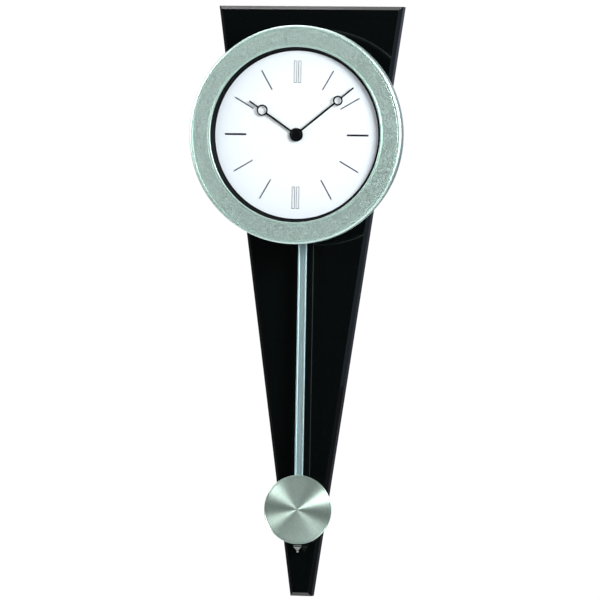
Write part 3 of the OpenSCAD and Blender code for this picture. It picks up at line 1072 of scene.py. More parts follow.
@dataclass(frozen=True)
class SpunSheet:
    """Sheet metal spun on a lathe, with round grain and rays of sheen from its centre."""

    name: str
    colour: Colour
    centre: Vector
    roughness: float = 0.4
    roughness_spread: float = 0.05
    anisotropy: float = 0.92
    metal: float = 0.91
    ray_scale: float = 26.0
    ray_spread: float = 0.1
    groove_scale: float = 420.0
    groove_depth: float = 0.000003

    def material(self) -> bpy.types.Material:
        """Makes the material.

        Returns:
            The material.
        """
        desk = ShaderDesk(self.name)
        desk.constants(Metallic=self.metal, Anisotropic=self.anisotropy, Anisotropic_Rotation=0.25)
        desk.tangent_round()
        here = desk.placed(desk.coords.outputs["Object"], move=-self.centre, stretch=(1, 0, 1))
        rays = desk.noise(desk.measured("NORMALIZE", here).outputs[0], self.ray_scale, 4.0, 0.65)
        desk.feed(desk.colours(rays, mottled(self.colour, self.ray_spread)), "Base Color")
        along = desk.placed(desk.coords.outputs["UV"], stretch=(0.002, 1, 1))
        grooves = desk.noise(along, self.groove_scale, 3.0)
        low, high = self.roughness - self.roughness_spread, self.roughness + self.roughness_spread
        desk.feed(desk.span(grooves, low, high), "Roughness")
        desk.bump(grooves, self.groove_depth, 0.4)
        return desk.material


@dataclass(frozen=True)
class RimShadeDialPaint:
    """Smooth white dial paint with painted shade: a cooler, darker tint towards its edge stands for the
    bezel's shadow on the dial.
    """

    name: str
    middle: Colour
    edge: Colour
    centre: Vector
    radius: float
    speckle_scale: float = 3500.0
    speckle_depth: float = 0.000004

    def material(self) -> bpy.types.Material:
        """Makes the material.

        Returns:
            The material.
        """
        desk = ShaderDesk(self.name)
        desk.constants(Specular_IOR_Level=0.3)
        here = desk.placed(desk.coords.outputs["Object"], move=-self.centre, stretch=(1, 0, 1))
        share = desk.maths("DIVIDE", desk.measured("LENGTH", here).outputs["Value"], self.radius)
        # Painted shade: the middle colour holds out to 0.6 of the radius, then fades to the edge colour at
        # the rim.
        stops = [(0.0, self.middle), (0.6, self.middle), (1.0, self.edge)]
        desk.feed(desk.colours(share, stops), "Base Color")
        speckle = desk.noise(desk.coords.outputs["Object"], self.speckle_scale, 2.0)
        desk.feed(desk.span(speckle, 0.42, 0.5), "Roughness")
        desk.bump(speckle, self.speckle_depth, 0.5)
        return desk.material


@dataclass(frozen=True)
class GlintAndShadeSilver:
    """Polished silver with painted light: its front-facing top face is painted bright as a painted
    reflection, and its cut sides dark as painted shade.
    """

    name: str
    face: Colour
    side: Colour

    def material(self) -> bpy.types.Material:
        """Makes the material.

        Returns:
            The material.
        """
        desk = ShaderDesk(self.name)
        desk.constants(Metallic=0.2)
        place = desk.nodes.new("ShaderNodeNewGeometry")
        front = desk.maths("ABSOLUTE", desk.part(place.outputs["Normal"], "Y"))
        # Painted light: the colour follows how far a face looks to the front, bright for the top face and
        # dark for the sides.
        stops = [(0.82, self.side), (0.97, self.face)]
        desk.feed(desk.colours(front, stops), "Base Color")
        lines = desk.noise(desk.coords.outputs["Object"], 1600.0)
        desk.feed(desk.span(lines, 0.36, 0.46), "Roughness")
        return desk.material


@dataclass(frozen=True)
class BatterySleeve:
    """A cell's printed sleeve: two plain bands, with no words."""

    name: str
    lower: Colour
    upper: Colour
    split: float

    def material(self) -> bpy.types.Material:
        """Makes the material.

        Returns:
            The material.
        """
        desk = ShaderDesk(self.name)
        desk.constants(Coat_Weight=0.6, Coat_Roughness=0.1)
        above = desk.maths("GREATER_THAN", desk.part(desk.coords.outputs["Object"], "Z"), self.split)
        stops = [(0.0, self.lower), (1.0, self.upper)]
        desk.feed(desk.colours(above, stops), "Base Color")
        film = desk.noise(desk.coords.outputs["Object"], 700.0)
        desk.feed(desk.span(film, 0.2, 0.32), "Roughness")
        return desk.material


# The finishes that the pieces share.
LACQUER = Finish(
    "black_lacquer", (0.0013, 0.0019, 0.0019), roughness=0.12, coat=1.0, coat_roughness=0.015,
    variation=0.12, roughness_spread=0.03, grain=260.0, bump_depth=0.0000008, specular=0.08,
)
BOARD_BACK = Finish("board_sealer", (0.018, 0.018, 0.019), roughness=0.72, grain=1400.0, bump_depth=0.00002)
SATIN_BEZEL = Finish(
    "satin_bezel", (0.6, 0.77, 0.71), roughness=0.44, metallic=1.0, variation=0.22, roughness_spread=0.1,
    grain=1100.0, bump_depth=0.00008,
)
BRIGHT_BEZEL = Finish(
    "bright_bezel", (0.86, 0.94, 0.89), roughness=0.4, metallic=1.0, variation=0.03, roughness_spread=0.03,
    grain=1500.0,
)
# Painted shade: near-black metal for the bezel's grooves and the hidden faces behind the ring, standing for
# the shade that falls into them.
GROOVE_SHADE = Finish("bezel_groove", (0.03, 0.035, 0.035), roughness=0.5, metallic=0.4, grain=1800.0)
BLACK_RING = Finish(
    "black_ring", (0.003, 0.0035, 0.004), roughness=0.55, specular=0.12, grain=1800.0,
    bump_depth=0.000006,
)
BLACK_HAND = Finish(
    "black_hand", (0.002, 0.0025, 0.003), roughness=0.34, coat=0.25, coat_roughness=0.1, grain=2600.0,
    bump_depth=0.000003, specular=0.2,
)
SILVER_BATON = Finish(
    "silver_baton", (0.27, 0.27, 0.33), roughness=0.3, metallic=1.0, variation=0.05, grain=1600.0,
)
DARK_BATON = Finish(
    "dark_baton", (0.1, 0.1, 0.13), roughness=0.32, metallic=1.0, variation=0.05, grain=1600.0,
)
ROD_CHANNEL = Finish(
    "satin_rod", (0.46, 0.62, 0.64), roughness=0.46, metallic=1.0, variation=0.08, roughness_spread=0.06,
    grain=3200.0, bump_depth=0.000006, pattern=Pattern.ALONG_UP,
)
ROD_EDGE = Finish(
    "bright_rod", (0.7, 0.73, 0.76), roughness=0.33, metallic=1.0, variation=0.03, grain=2600.0,
    pattern=Pattern.ALONG_UP,
)
BOB_RIM = Finish("bob_rim", (0.92, 0.96, 0.92), roughness=0.24, metallic=1.0, variation=0.02, grain=1500.0)
# Painted shade: the groove between the bob's dome and rim is painted near black for the shade in it.
BOB_GROOVE_SHADE = Finish("bob_groove", (0.008, 0.01, 0.01), roughness=0.7, specular=0.05, grain=1500.0)
BOB_STEEL = Finish(
    "bob_steel", (0.42, 0.43, 0.43), roughness=0.46, metallic=1.0, variation=0.12, grain=700.0,
    bump_depth=0.00001,
)
POLISHED_NUT = Finish(
    "polished_nut", (0.2, 0.21, 0.2), roughness=0.1, metallic=1.0, variation=0.03, grain=1200.0,
)
ZINC = Finish(
    "zinc_steel", (0.6, 0.62, 0.6), roughness=0.36, metallic=1.0, variation=0.14, grain=420.0,
    bump_depth=0.000006,
)
RUBBER = Finish("black_rubber", (0.02, 0.02, 0.02), roughness=0.82, grain=1500.0, bump_depth=0.00003)
CASE_PLASTIC = Finish(
    "dark_case_plastic", (0.022, 0.023, 0.025), roughness=0.5, grain=1900.0, bump_depth=0.000014,
)
MOVEMENT_PLASTIC = Finish(
    "movement_plastic", (0.012, 0.012, 0.013), roughness=0.46, grain=2100.0, bump_depth=0.000012,
)
PLATE_PLASTIC = Finish("plate_plastic", (0.7, 0.68, 0.6), roughness=0.48, grain=1500.0, bump_depth=0.000006)
WHEEL_PLASTIC = Finish("wheel_plastic", (0.78, 0.75, 0.66), roughness=0.42, grain=1500.0, bump_depth=0.000004)
KNOB_PLASTIC = Finish("knob_plastic", (0.05, 0.05, 0.055), roughness=0.45, grain=1700.0, bump_depth=0.00001)
ARM_PLASTIC = Finish("arm_plastic", (0.66, 0.67, 0.64), roughness=0.5, grain=1500.0, bump_depth=0.00001)
BRASS = Finish("plain_brass", (0.72, 0.52, 0.22), roughness=0.3, metallic=1.0, variation=0.08, grain=600.0)
LAMINATE = Finish(
    "circuit_laminate", (0.02, 0.16, 0.06), roughness=0.35, variation=0.2, grain=900.0, coat=0.4,
)
COPPER = Finish(
    "copper_wire", (0.55, 0.2, 0.08), roughness=0.3, metallic=1.0, variation=0.2, grain=4200.0,
    bump_depth=0.00006,
)
STATOR_IRON = Finish(
    "stator_iron", (0.4, 0.4, 0.42), roughness=0.42, metallic=1.0, variation=0.1, grain=800.0,
)
FERRITE = Finish("magnet_ferrite", (0.06, 0.06, 0.065), roughness=0.55, grain=1400.0, bump_depth=0.00001)
CONTACT = Finish(
    "contact_metal", (0.74, 0.68, 0.52), roughness=0.26, metallic=1.0, variation=0.06, grain=700.0,
)


# ---------------------------------------------------------------- shared dressing


def dress(piece: bpy.types.Object, *finishes: Finish) -> bpy.types.Object:
    """Gives a piece its materials in order.

    Args:
        piece: the mesh object.
        finishes: one for each material number.

    Returns:
        The same object.
    """
    piece.data.materials.clear()
    for finish in finishes:
        piece.data.materials.append(finish.material())
    return piece


def hand_over(piece: bpy.types.Object, body: str, slot: str, *nodes: str) -> bpy.types.Object:
    """Puts a finished piece on its body in place of its CAD nodes.

    Args:
        piece: the finished mesh object.
        body: the body that it rides on.
        slot: the record's material slot; not used.
        nodes: the CAD nodes that it stands for.

    Returns:
        The same object.
    """
    flats = piece.modifiers.new("Flats", "WEIGHTED_NORMAL")
    flats.keep_sharp = True
    finished(piece)
    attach(piece, body)
    if nodes:
        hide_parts(*nodes)
    LOG.info("%s: %d faces on %s", piece.name, len(piece.data.polygons), body)
    return piece


def mould(
    node: str, name: str, ease: float, finish: Finish, body: str = "case", angle_deg: float = 50.0
) -> None:
    """Puts an eased copy of a CAD node on its body in the node's place.

    Args:
        node: the CAD node's name.
        name: the piece's name.
        ease: how far its edges are eased, in millimetres.
        finish: its finish, which has the same name as its material slot.
        body: the body that it rides on.
        angle_deg: the angle above which an edge counts as sharp.
    """
    piece = dress(eased_copy(node, name, ease * MM, angle_deg), finish)
    hand_over(piece, body, finish.name, node)


def dress_node(node: str, finish: Finish) -> None:
    """Gives a carried-over CAD node a procedural material.

    Args:
        node: its name.
        finish: its finish.
    """
    mesh = frame["nodes"][node].data
    material = finish.material()
    if not mesh.materials:
        mesh.materials.append(material)
    for i in range(len(mesh.materials)):
        mesh.materials[i] = material
    LOG.info("%s: kept, %s", node, finish.name)


@dataclass
class CrossScrew:
    """A screw with a cross recess, whose head faces the wall, in millimetres."""

    head_r: float
    head_h: float
    shank_r: float
    length: float
    countersunk: bool = False

    def build(self, name: str, back: float, reach: float) -> bpy.types.Object:
        """Makes one screw on the X axis at a distance from the ring's axis.

        Args:
            name: the object's name.
            back: the depth of the head's back, in metres.
            reach: its distance along X, in metres.

        Returns:
            The mesh object.
        """
        r, h, s, tip = (v * MM for v in (self.head_r, self.head_h, self.shank_r, self.length))
        crown = 0.0 if self.countersunk else 0.35 * h
        corners: list[Corner] = [(0.0, back, 0.0), (r * 0.6, back + crown * 0.15, 0.4 * r)]
        if self.countersunk:
            corners += [(r, back, 0.08 * MM), (s, back + h, 0.1 * MM)]
        else:
            corners += [(r, back + crown, 0.5 * h), (r, back + h, 0.15 * MM), (s, back + h, 0.1 * MM)]
        corners += [(s, back + tip - 1.2 * s, 0.0), (0.2 * s, back + tip, 0.0), (0.0, back + tip, 0.0)]
        screw = Turned(rounded(corners, closed=False), Vector((reach, 0, 0)), segments=32).build(name)
        wide, deep, arm = r * 0.26, h * 0.62, r * 0.62
        cutters = []
        for half_x, half_z in ((arm, wide / 2), (wide / 2, arm)):
            low = Vector((reach - half_x, -back - deep, -half_z))
            cutters.append(block("cutter", low, Vector((reach + half_x, -back + 1 * MM, half_z))))
        return soft_edges(cut_away(screw, cutters))


# ---------------------------------------------------------------- sub-assemblies


@dataclass
class BackBoard:
    """The tapered board with a mitred front chamfer and the openings behind the head (mm)."""

    foot_w: float = 21.6
    chamfer: float = 3.5
    ease: float = 0.12
    opening: tuple[float, float, float, float] = (-42, -45, 42, 78)
    opening_r: float = 10
    bore_r: float = 2.2
    counterbore_r: float = 4.2
    pocket: tuple[float, float, float, float] = (-8, 95, 8, 120)
    pocket_deep: float = 9
    pocket_r: float = 6
    pilot_r: float = 1.2
    wall_inset: float = 4.5

    def blank(self) -> bpy.types.Object:
        """Makes the tapered blank with its chamfer.

        Returns:
            The mesh object.
        """
        low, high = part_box("back_board")
        half_foot, edge = self.foot_w * MM / 2, self.chamfer * MM
        lean = math.atan2(high.x - half_foot, high.z - low.z)
        side = edge / math.cos(lean)
        drift = edge * math.tan(lean)
        outer = [(-high.x, high.z), (-half_foot, low.z), (half_foot, low.z), (high.x, high.z)]
        inner_top, inner_foot = high.x - side - drift, half_foot - side + drift
        inner = [
            (-inner_top, high.z - edge), (-inner_foot, low.z + edge),
            (inner_foot, low.z + edge), (inner_top, high.z - edge),
        ]
        bm = bmesh.new()
        rings = []
        for line, y in ((outer, high.y), (outer, low.y + edge), (inner, low.y)):
            rings.append([bm.verts.new((x, y, z)) for x, z in line])
        bridged(bm, rings)
        bevelled(bm, bm.edges[:], self.ease * MM, 3)
        return as_object("board", bm)

    def cutters(self) -> list[bpy.types.Object]:
        """Makes the solids of the service opening, the pocket and the screw holes.

        Returns:
            The cutters.
        """
        back, front = depth_span("back_board")
        lift = dial_centre().z
        boxes = (
            (self.opening, self.opening_r, front + 2 * MM),
            (self.pocket, self.pocket_r, back + self.pocket_deep * MM),
        )
        shapes = []
        for corners, radius, end in boxes:
            x0, z0, x1, z1 = (v * MM for v in corners)
            outline = round_box(x0, z0 + lift, x1, z1 + lift, radius * MM)
            shapes.append(Plate([outline], back - 2 * MM, end, 0.0))
        for angle in CASE_SCREW_ANGLES:
            x = CASE_SCREW_R * MM * math.cos(math.radians(angle))
            z = CASE_SCREW_R * MM * math.sin(math.radians(angle)) + lift
            for radius, end in ((self.bore_r, front + 1 * MM), (self.counterbore_r, back + 4 * MM)):
                shapes.append(Plate([circle(x, z, radius * MM)], back - 1 * MM, end, 0.0))
        for x in (-PLATE_SCREW_X * MM, PLATE_SCREW_X * MM):
            pilot = circle(x, HOOK_RISE * MM + lift, self.pilot_r * MM)
            shapes.append(Plate([pilot], back - 1 * MM, back + 10 * MM, 0.0))
        return [shape.build(f"cutter_{i}") for i, shape in enumerate(shapes)]

    def build(self) -> None:
        """Builds the board, lacquered in front and sealed behind."""
        board = cut_away(self.blank(), self.cutters())
        soft_edges(board, 20)
        dress(board, LACQUER, BOARD_BACK)
        front = depth_span("back_board")[1]
        for face in board.data.polygons:
            inside = abs(face.normal.y) < 0.5 and face.center.y > -front + 1 * MM and self.within(face.center)
            face.material_index = 1 if face.normal.y > 0.7 or inside else 0
        hand_over(board, "case", "black_lacquer", "back_board")

    def within(self, spot: Vector) -> bool:
        """Tells whether a point lies on a wall of one of the openings, and not on the outside."""
        low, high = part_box("back_board")
        share = (spot.z - low.z) / (high.z - low.z)
        half = self.foot_w * MM / 2 + (high.x - self.foot_w * MM / 2) * share
        inset = self.wall_inset * MM
        return abs(spot.x) < half - inset and low.z + inset < spot.z < high.z - inset


@dataclass
class WallFixings:
    """The keyhole plate, its screws and the rubber pads that touch the wall (mm)."""

    plate: tuple[float, float, float, float] = (-29, 92, 29, 124)
    plate_r: float = 4
    keyhole_r: float = 5
    slot_r: float = 2.3
    slot_rise: float = 12
    screw_hole_r: float = 1.7
    pad_r: float = 5.5
    pad_places: tuple[Point2, ...] = ((-70, 112), (70, 112), (0, -442))

    def keyhole(self, lift: float) -> list[Point2]:
        """Draws the keyhole.

        Args:
            lift: the height of the dial centre, in metres.

        Returns:
            Its outline.
        """
        middle = HOOK_RISE * MM + lift
        r, s = self.keyhole_r * MM, self.slot_r * MM
        join = math.asin(s / r)
        top = middle + self.slot_rise * MM
        sweep = TURN - 2 * join
        return [
            *arc((0.0, middle), r, math.pi / 2 + join, sweep, 40),
            *arc((0.0, top), s, 0.0, math.pi, 16),
        ]

    def build(self) -> None:
        """Builds the plate, the screws and the pads."""
        lift = dial_centre().z
        back, front = depth_span("hanger_plate")
        x0, z0, x1, z1 = (v * MM for v in self.plate)
        sides, height = (-PLATE_SCREW_X * MM, PLATE_SCREW_X * MM), HOOK_RISE * MM + lift
        holes = [circle(x, height, self.screw_hole_r * MM, 32) for x in sides]
        spots = [Vector((x, 0, height)) for x in sides]
        outline = round_box(x0, z0 + lift, x1, z1 + lift, self.plate_r * MM)
        plate = Plate([outline, self.keyhole(lift), *holes], back, front, 0.15 * MM).build("keyhole_plate")
        hand_over(dress(plate, ZINC), "case", "zinc_steel", "hanger_plate")
        screw = CrossScrew(1.65, 1.5, 1.2, 11, countersunk=True).build("screw", 0.0, 0.0)
        screws = PlacedPieces(screw, spots, (12, 57)).build("plate_screws", ZINC.material())
        hand_over(screws, "case", "zinc_steel", "hanger_screws")
        r, t = self.pad_r * MM, front
        run = [(0, 0, 0), (r * 0.7, 0.0, 2 * MM), (r, 0.25 * MM, 0.3 * MM), (r, t, 0.2 * MM), (0, t, 0)]
        pad = Turned(rounded(run, closed=False), Vector(), segments=40).build("pad")
        spots = [Vector((x * MM, 0, z * MM + lift)) for x, z in self.pad_places]
        pads = PlacedPieces(pad, spots).build("rubber_pads", RUBBER.material())
        hand_over(pads, "case", "black_rubber", "wall_pads")


@dataclass
class CaseDrum:
    """The moulded drum between the board and the bezel, with its screws (mm)."""

    ease: float = 0.4

    def build(self) -> None:
        """Builds the drum and the screws that hold it to the board."""
        mould("case_drum", "moulded_drum", self.ease, CASE_PLASTIC)
        centre = dial_centre()
        back, front = depth_span("case_screws")
        screw = CrossScrew(3.6, 2.4, 1.6, (front - back) / MM).build("screw", back, 0.0)
        spots = []
        for angle in CASE_SCREW_ANGLES:
            turn = math.radians(angle)
            reach = CASE_SCREW_R * MM
            spots.append(centre + Vector((reach * math.cos(turn), 0, reach * math.sin(turn))))
        screws = PlacedPieces(screw, spots, (10, 35, 62, 80)).build("drum_screws", ZINC.material())
        hand_over(screws, "case", "zinc_steel", "case_screws")


@dataclass
class Bezel:
    """The broad satin ring with its bright rim and lip and its grooves painted dark as painted shade, the
    glass and the black ring under it (mm).
    """

    opening_r: float = 87
    seat_r: float = 90.4
    groove_out: tuple[float, float] = (104.7, 105.2)
    groove_in: tuple[float, float] = (89.0, 89.5)
    groove_depth: float = 0.5
    face_drop: float = 0.6
    face_t: float = 2.4
    lip_t: float = 1.5
    dial_seen_r: float = 83.4
    screw_r: float = 101
    screw_count: int = 6
    first_screw_deg: float = 30
    segments: int = 256

    def ring(self) -> bpy.types.Object:
        """Makes the ring from one turned profile.

        Returns:
            The mesh object, with satin and bright bands, and dark bands of painted shade in its grooves and
            on the faces behind its lip.
        """
        centre = dial_centre()
        outer = half_width("bezel_ring") / MM
        back, front = (v / MM for v in depth_span("bezel_ring"))
        seat_back = depth_span("dial_plate")[0] / MM
        face = front - self.face_drop
        sunk = face - self.groove_depth
        under = front - self.face_t
        o0, o1 = self.groove_out
        i0, i1 = self.groove_in
        run = [
            (outer - 2, back, 0.2, 0), (outer, back, 0.3, 1), (outer, face - 1, 0.5, 1),
            (outer - 0.8, face, 0.6, 1), (outer - 2, front - 0.2, 0.6, 1), (o1 + 0.2, front - 0.2, 0.15, 2),
            (o1, sunk, 0.05, 2), (o0, sunk, 0.05, 2), (o0 - 0.2, face, 0.2, 0), (i1 + 0.2, face, 0.2, 2),
            (i1, sunk, 0.05, 2), (i0, sunk, 0.05, 2), (i0 - 0.2, front, 0.35, 1),
            (self.opening_r + 0.4, front, 0.35, 1), (self.opening_r, front - 0.6, 0.3, 1),
            (self.opening_r, front - self.lip_t, 0.1, 2), (self.seat_r, front - self.lip_t, 0, 2),
            (self.seat_r, seat_back, 0, 2), (self.seat_r + 2, seat_back, 0, 2),
            (self.seat_r + 2, under, 0, 2), (outer - 2, under, 0, 2),
        ]
        corners = in_metres([corner[:3] for corner in run])
        line = rounded(corners, closed=True, steps=3)
        bands = self.band_numbers(line, corners, [band for *_, band in run])
        return Turned(line, centre, segments=self.segments, closed=True, bands=bands).build("bezel")

    def band_numbers(self, line: list[Point2], corners: list[Corner], bands: list[int]) -> list[int]:
        """Finds the band of each short piece of the rounded line.

        Args:
            line: the rounded line.
            corners: the corners that it was made from.
            bands: the band of the stretch after each corner.

        Returns:
            A band for each piece of the line.
        """
        found = []
        for i, (r0, d0) in enumerate(line):
            r1, d1 = line[(i + 1) % len(line)]
            middle = Vector(((r0 + r1) / 2, (d0 + d1) / 2))
            best, number = 1.0, 0
            for k, corner in enumerate(corners):
                a, b = Vector(corner[:2]), Vector(corners[(k + 1) % len(corners)][:2])
                share = max(0.0, min(1.0, (middle - a).dot(b - a) / max(1e-12, (b - a).length_squared)))
                gap = (a + (b - a) * share - middle).length
                if gap < best - 1e-9:
                    best, number = gap, bands[k]
            found.append(number)
        return found

    def bosses(self) -> bpy.types.Object:
        """Makes the six screw bosses behind the ring's face, in the dark painted-shade finish.

        Returns:
            The mesh object.
        """
        back, front = (v / MM for v in depth_span("bezel_ring"))
        top = front - 2.3
        corners = [
            (1.1, back + 2, 0.1), (3.2, back + 2, 0.3), (3.2, top, 0), (0.0, top, 0), (0.0, back + 8, 0),
            (1.1, back + 8, 0),
        ]
        line = rounded(in_metres(corners))
        reach = Vector((self.screw_r * MM, 0, 0))
        boss = Turned(line[:-3] + line[-2:], reach, segments=32, closed=True).build("boss")
        ring = RingOfPieces(boss, self.screw_count, dial_centre(), self.first_screw_deg)
        return ring.build("bosses", GROOVE_SHADE.material())

    def build(self) -> None:
        """Builds the ring, its screws, the glass and the black ring."""
        centre = dial_centre()
        # The third material is the painted shade in the grooves and behind the lip.
        ring = joined("bezel", [dress(self.ring(), SATIN_BEZEL, BRIGHT_BEZEL, GROOVE_SHADE), self.bosses()])
        hand_over(ring, "case", "satin_bezel", "bezel_ring")
        back, front = depth_span("bezel_screws")
        screw = CrossScrew(2.8, 1.8, 1.1, (front - back) / MM).build("screw", back, self.screw_r * MM)
        screws = RingOfPieces(screw, self.screw_count, centre, self.first_screw_deg)
        hand_over(screws.build("ring_screws", ZINC.material()), "case", "zinc_steel", "bezel_screws")
        back, front = depth_span("lens")
        radius = half_width("lens")
        run = [(0, back, 0), (radius, back, 0.2 * MM), (radius, front, 0.3 * MM), (0, front, 0)]
        glass = Turned(rounded(run, closed=False), centre, segments=160).build("glass")
        hand_over(dress(glass, ClearGlass()), "case", "mineral_glass", "lens")
        dial_front = depth_span("dial_plate")[1] / MM
        glass_back = back / MM
        run = [
            (self.dial_seen_r, dial_front, 0.1), (90, dial_front, 0), (90, glass_back, 0),
            (self.opening_r + 0.5, glass_back, 0.3), (self.opening_r - 0.4, glass_back - 0.9, 0.3),
            (self.dial_seen_r + 1.2, dial_front + 1.0, 0.3), (self.dial_seen_r, dial_front + 0.6, 0.2),
        ]
        line = rounded(in_metres(run))
        inner = Turned(line, centre, segments=192, closed=True).build("dial_surround")
        hand_over(dress(inner, BLACK_RING), "case", "black_ring", "inner_ring")


@dataclass
class Dial:
    """The white dial and its applied batons (mm)."""

    bore_r: float = 3.1
    inner: float = 51.5
    outer: float = 73.5
    height: float = 0.6
    slope: float = 0.42
    ease: float = 0.05
    single_w: float = 1.2
    heavy_w: float = 1.9
    double_w: float = 2.9
    gap: float = 4.4

    def baton(self, width: float, shift: float = 0.0) -> bpy.types.Object:
        """Makes one baton along +X, with bevelled sides and ends.

        Args:
            width: its width.
            shift: how far it is moved sideways.

        Returns:
            The mesh object.
        """
        front = depth_span("dial_plate")[1]
        bm = bmesh.new()
        x0, x1, half = self.inner * MM, self.outer * MM, width * MM / 2
        top, slope = self.height * MM, min(self.slope * MM, width * MM * 0.25)
        rings = []
        for inset, rise in ((0.0, 0.0), (0.0, top * 0.45), (slope, top)):
            corners = (
                (x0 + inset, -half + inset), (x1 - inset, -half + inset),
                (x1 - inset, half - inset), (x0 + inset, half - inset),
            )
            rings.append([bm.verts.new((x, -front - rise, z + shift * MM)) for x, z in corners])
        bridged(bm, rings)
        bevelled(bm, bm.edges[:], self.ease * MM, 2)
        return as_object("baton", bm)

    def build(self) -> None:
        """Builds the dial and the three kinds of baton."""
        centre = dial_centre()
        back, front = depth_span("dial_plate")
        radius = half_width("dial_plate")
        bore = self.bore_r * MM
        line = rounded([
            (bore, back, 0), (radius, back, 0), (radius, front, 0.1 * MM), (bore, front, 0.08 * MM),
        ], closed=True)
        plate = Turned(line, centre, segments=160, closed=True).build("dial")
        # The second colour is the painted shade at the dial's rim.
        paint = RimShadeDialPaint("white_dial", (0.97, 0.975, 0.975), (0.87, 0.91, 0.95), centre, radius)
        hand_over(dress(plate, paint), "case", "white_dial", "dial_plate")
        singles = RingOfPieces(self.baton(self.single_w), 12, centre, leave_out=3, counted_from=0)
        marks = singles.build("hour_marks", SILVER_BATON.material())
        hand_over(marks, "case", "silver_baton", "hour_batons")
        heavy = RingOfPieces(self.baton(self.heavy_w), 2, centre)
        marks = heavy.build("quarter_marks", DARK_BATON.material())
        hand_over(marks, "case", "silver_baton", "quarter_batons")
        pair = joined("pair", [self.baton(self.double_w, side * self.gap / 2) for side in (1, -1)])
        # The double batons get a painted glint on their tops and painted shade on their sides.
        silver = GlintAndShadeSilver("bright_baton", (0.97, 0.98, 0.99), (0.04, 0.06, 0.08))
        twins = RingOfPieces(pair, 2, centre, 90).build("double_marks", silver.material())
        hand_over(twins, "case", "silver_baton", "double_batons")


@dataclass
class HandShape:
    """One stick hand with an open ring, drawn pointing up (mm)."""

    tip: float
    ring_at: float
    ring_r: float
    stick: float
    stroke: float
    hub_r: float
    bore_r: float

    def outlines(self, turn_deg: float, centre: Vector) -> list[list[Point2]]:
        """Draws the hand as one outer line and two holes.

        Args:
            turn_deg: its angle, clockwise from twelve.
            centre: the dial's centre.

        Returns:
            The outlines, in metres.
        """
        half, thin = self.stick / 2, self.stick * 0.4
        foot = math.sqrt(self.hub_r**2 - half**2)
        low = math.asin(half / self.ring_r)
        high = math.asin(thin / self.ring_r)
        start = math.atan2(foot, half)
        ring, side = (0.0, self.ring_at), math.pi - low - high
        line = [
            *arc((0.0, 0.0), self.hub_r, start, 2 * (math.pi / 2 - start) - TURN, 48),
            *arc(ring, self.ring_r, -math.pi / 2 - low, -side, 24),
            (-thin, self.tip - 0.2), (-thin + 0.2, self.tip), (thin - 0.2, self.tip), (thin, self.tip - 0.2),
            *arc(ring, self.ring_r, math.pi / 2 - high, -side, 24),
        ]
        loops = [line, circle(0, self.ring_at, self.ring_r - self.stroke, 40), circle(0, 0, self.bore_r, 40)]
        turn = math.radians(-turn_deg)
        c, s = math.cos(turn) * MM, math.sin(turn) * MM
        return [[(centre.x + x * c - z * s, centre.z + x * s + z * c) for x, z in loop] for loop in loops]


@dataclass
class Hands:
    """The two black hands and the cap over their arbor (mm)."""

    minute_deg: float = 51.0
    hour_deg: float = 304.25
    thickness: float = 0.5
    hour: HandShape = field(default_factory=lambda: HandShape(58.5, 42.5, 5.7, 2.0, 1.5, 5.8, 2.4))
    minute: HandShape = field(default_factory=lambda: HandShape(74.8, 54.4, 5.0, 1.9, 1.5, 4.6, 1.55))
    cup_r: float = 6.8
    cap_r: float = 5.2

    def build(self) -> None:
        """Builds both hands and the cap."""
        centre = dial_centre()
        soften = 0.12 * MM
        back, front = depth_span("hour_hand")
        blade_back = front - self.thickness * MM
        outlines = self.hour.outlines(self.hour_deg, centre)
        blade = Plate(outlines, blade_back, front, soften).build("hour_blade")
        r, wall, bore = self.cup_r * MM, 0.6 * MM, self.hour.bore_r * MM
        run = [
            (bore, blade_back, 0), (r - wall, blade_back, 0.1 * MM), (r - wall, back, 0),
            (r, back, 0.05 * MM), (r, front, 0.3 * MM), (bore, front, 0.08 * MM),
        ]
        cup = Turned(rounded(run), centre, segments=72, closed=True).build("cup")
        hand = joined("hour_pointer", [dress(blade, BLACK_HAND), dress(cup, BLACK_HAND)])
        hand_over(hand, "hour_works", "black_hand", "hour_hand")
        back, front = depth_span("minute_hand")
        outlines = self.minute.outlines(self.minute_deg, centre)
        blade = Plate(outlines, back, front, soften).build("minute_pointer")
        hand_over(dress(blade, BLACK_HAND), "minute_works", "black_hand", "minute_hand")
        back, front = depth_span("hand_cap")
        r, bore = self.cap_r * MM, self.minute.bore_r * MM
        run = [
            (0, front, 0), (r * 0.75, front - 0.04 * MM, 2 * MM), (r, front - 0.35 * MM, 0.3 * MM),
            (r, back, 0.06 * MM), (bore, back, 0), (bore, front - 0.4 * MM, 0), (0, front - 0.4 * MM, 0),
        ]
        cap = Turned(rounded(run, closed=False), centre, segments=72).build("cap")
        hand_over(dress(cap, BLACK_HAND), "minute_works", "black_hand", "hand_cap")


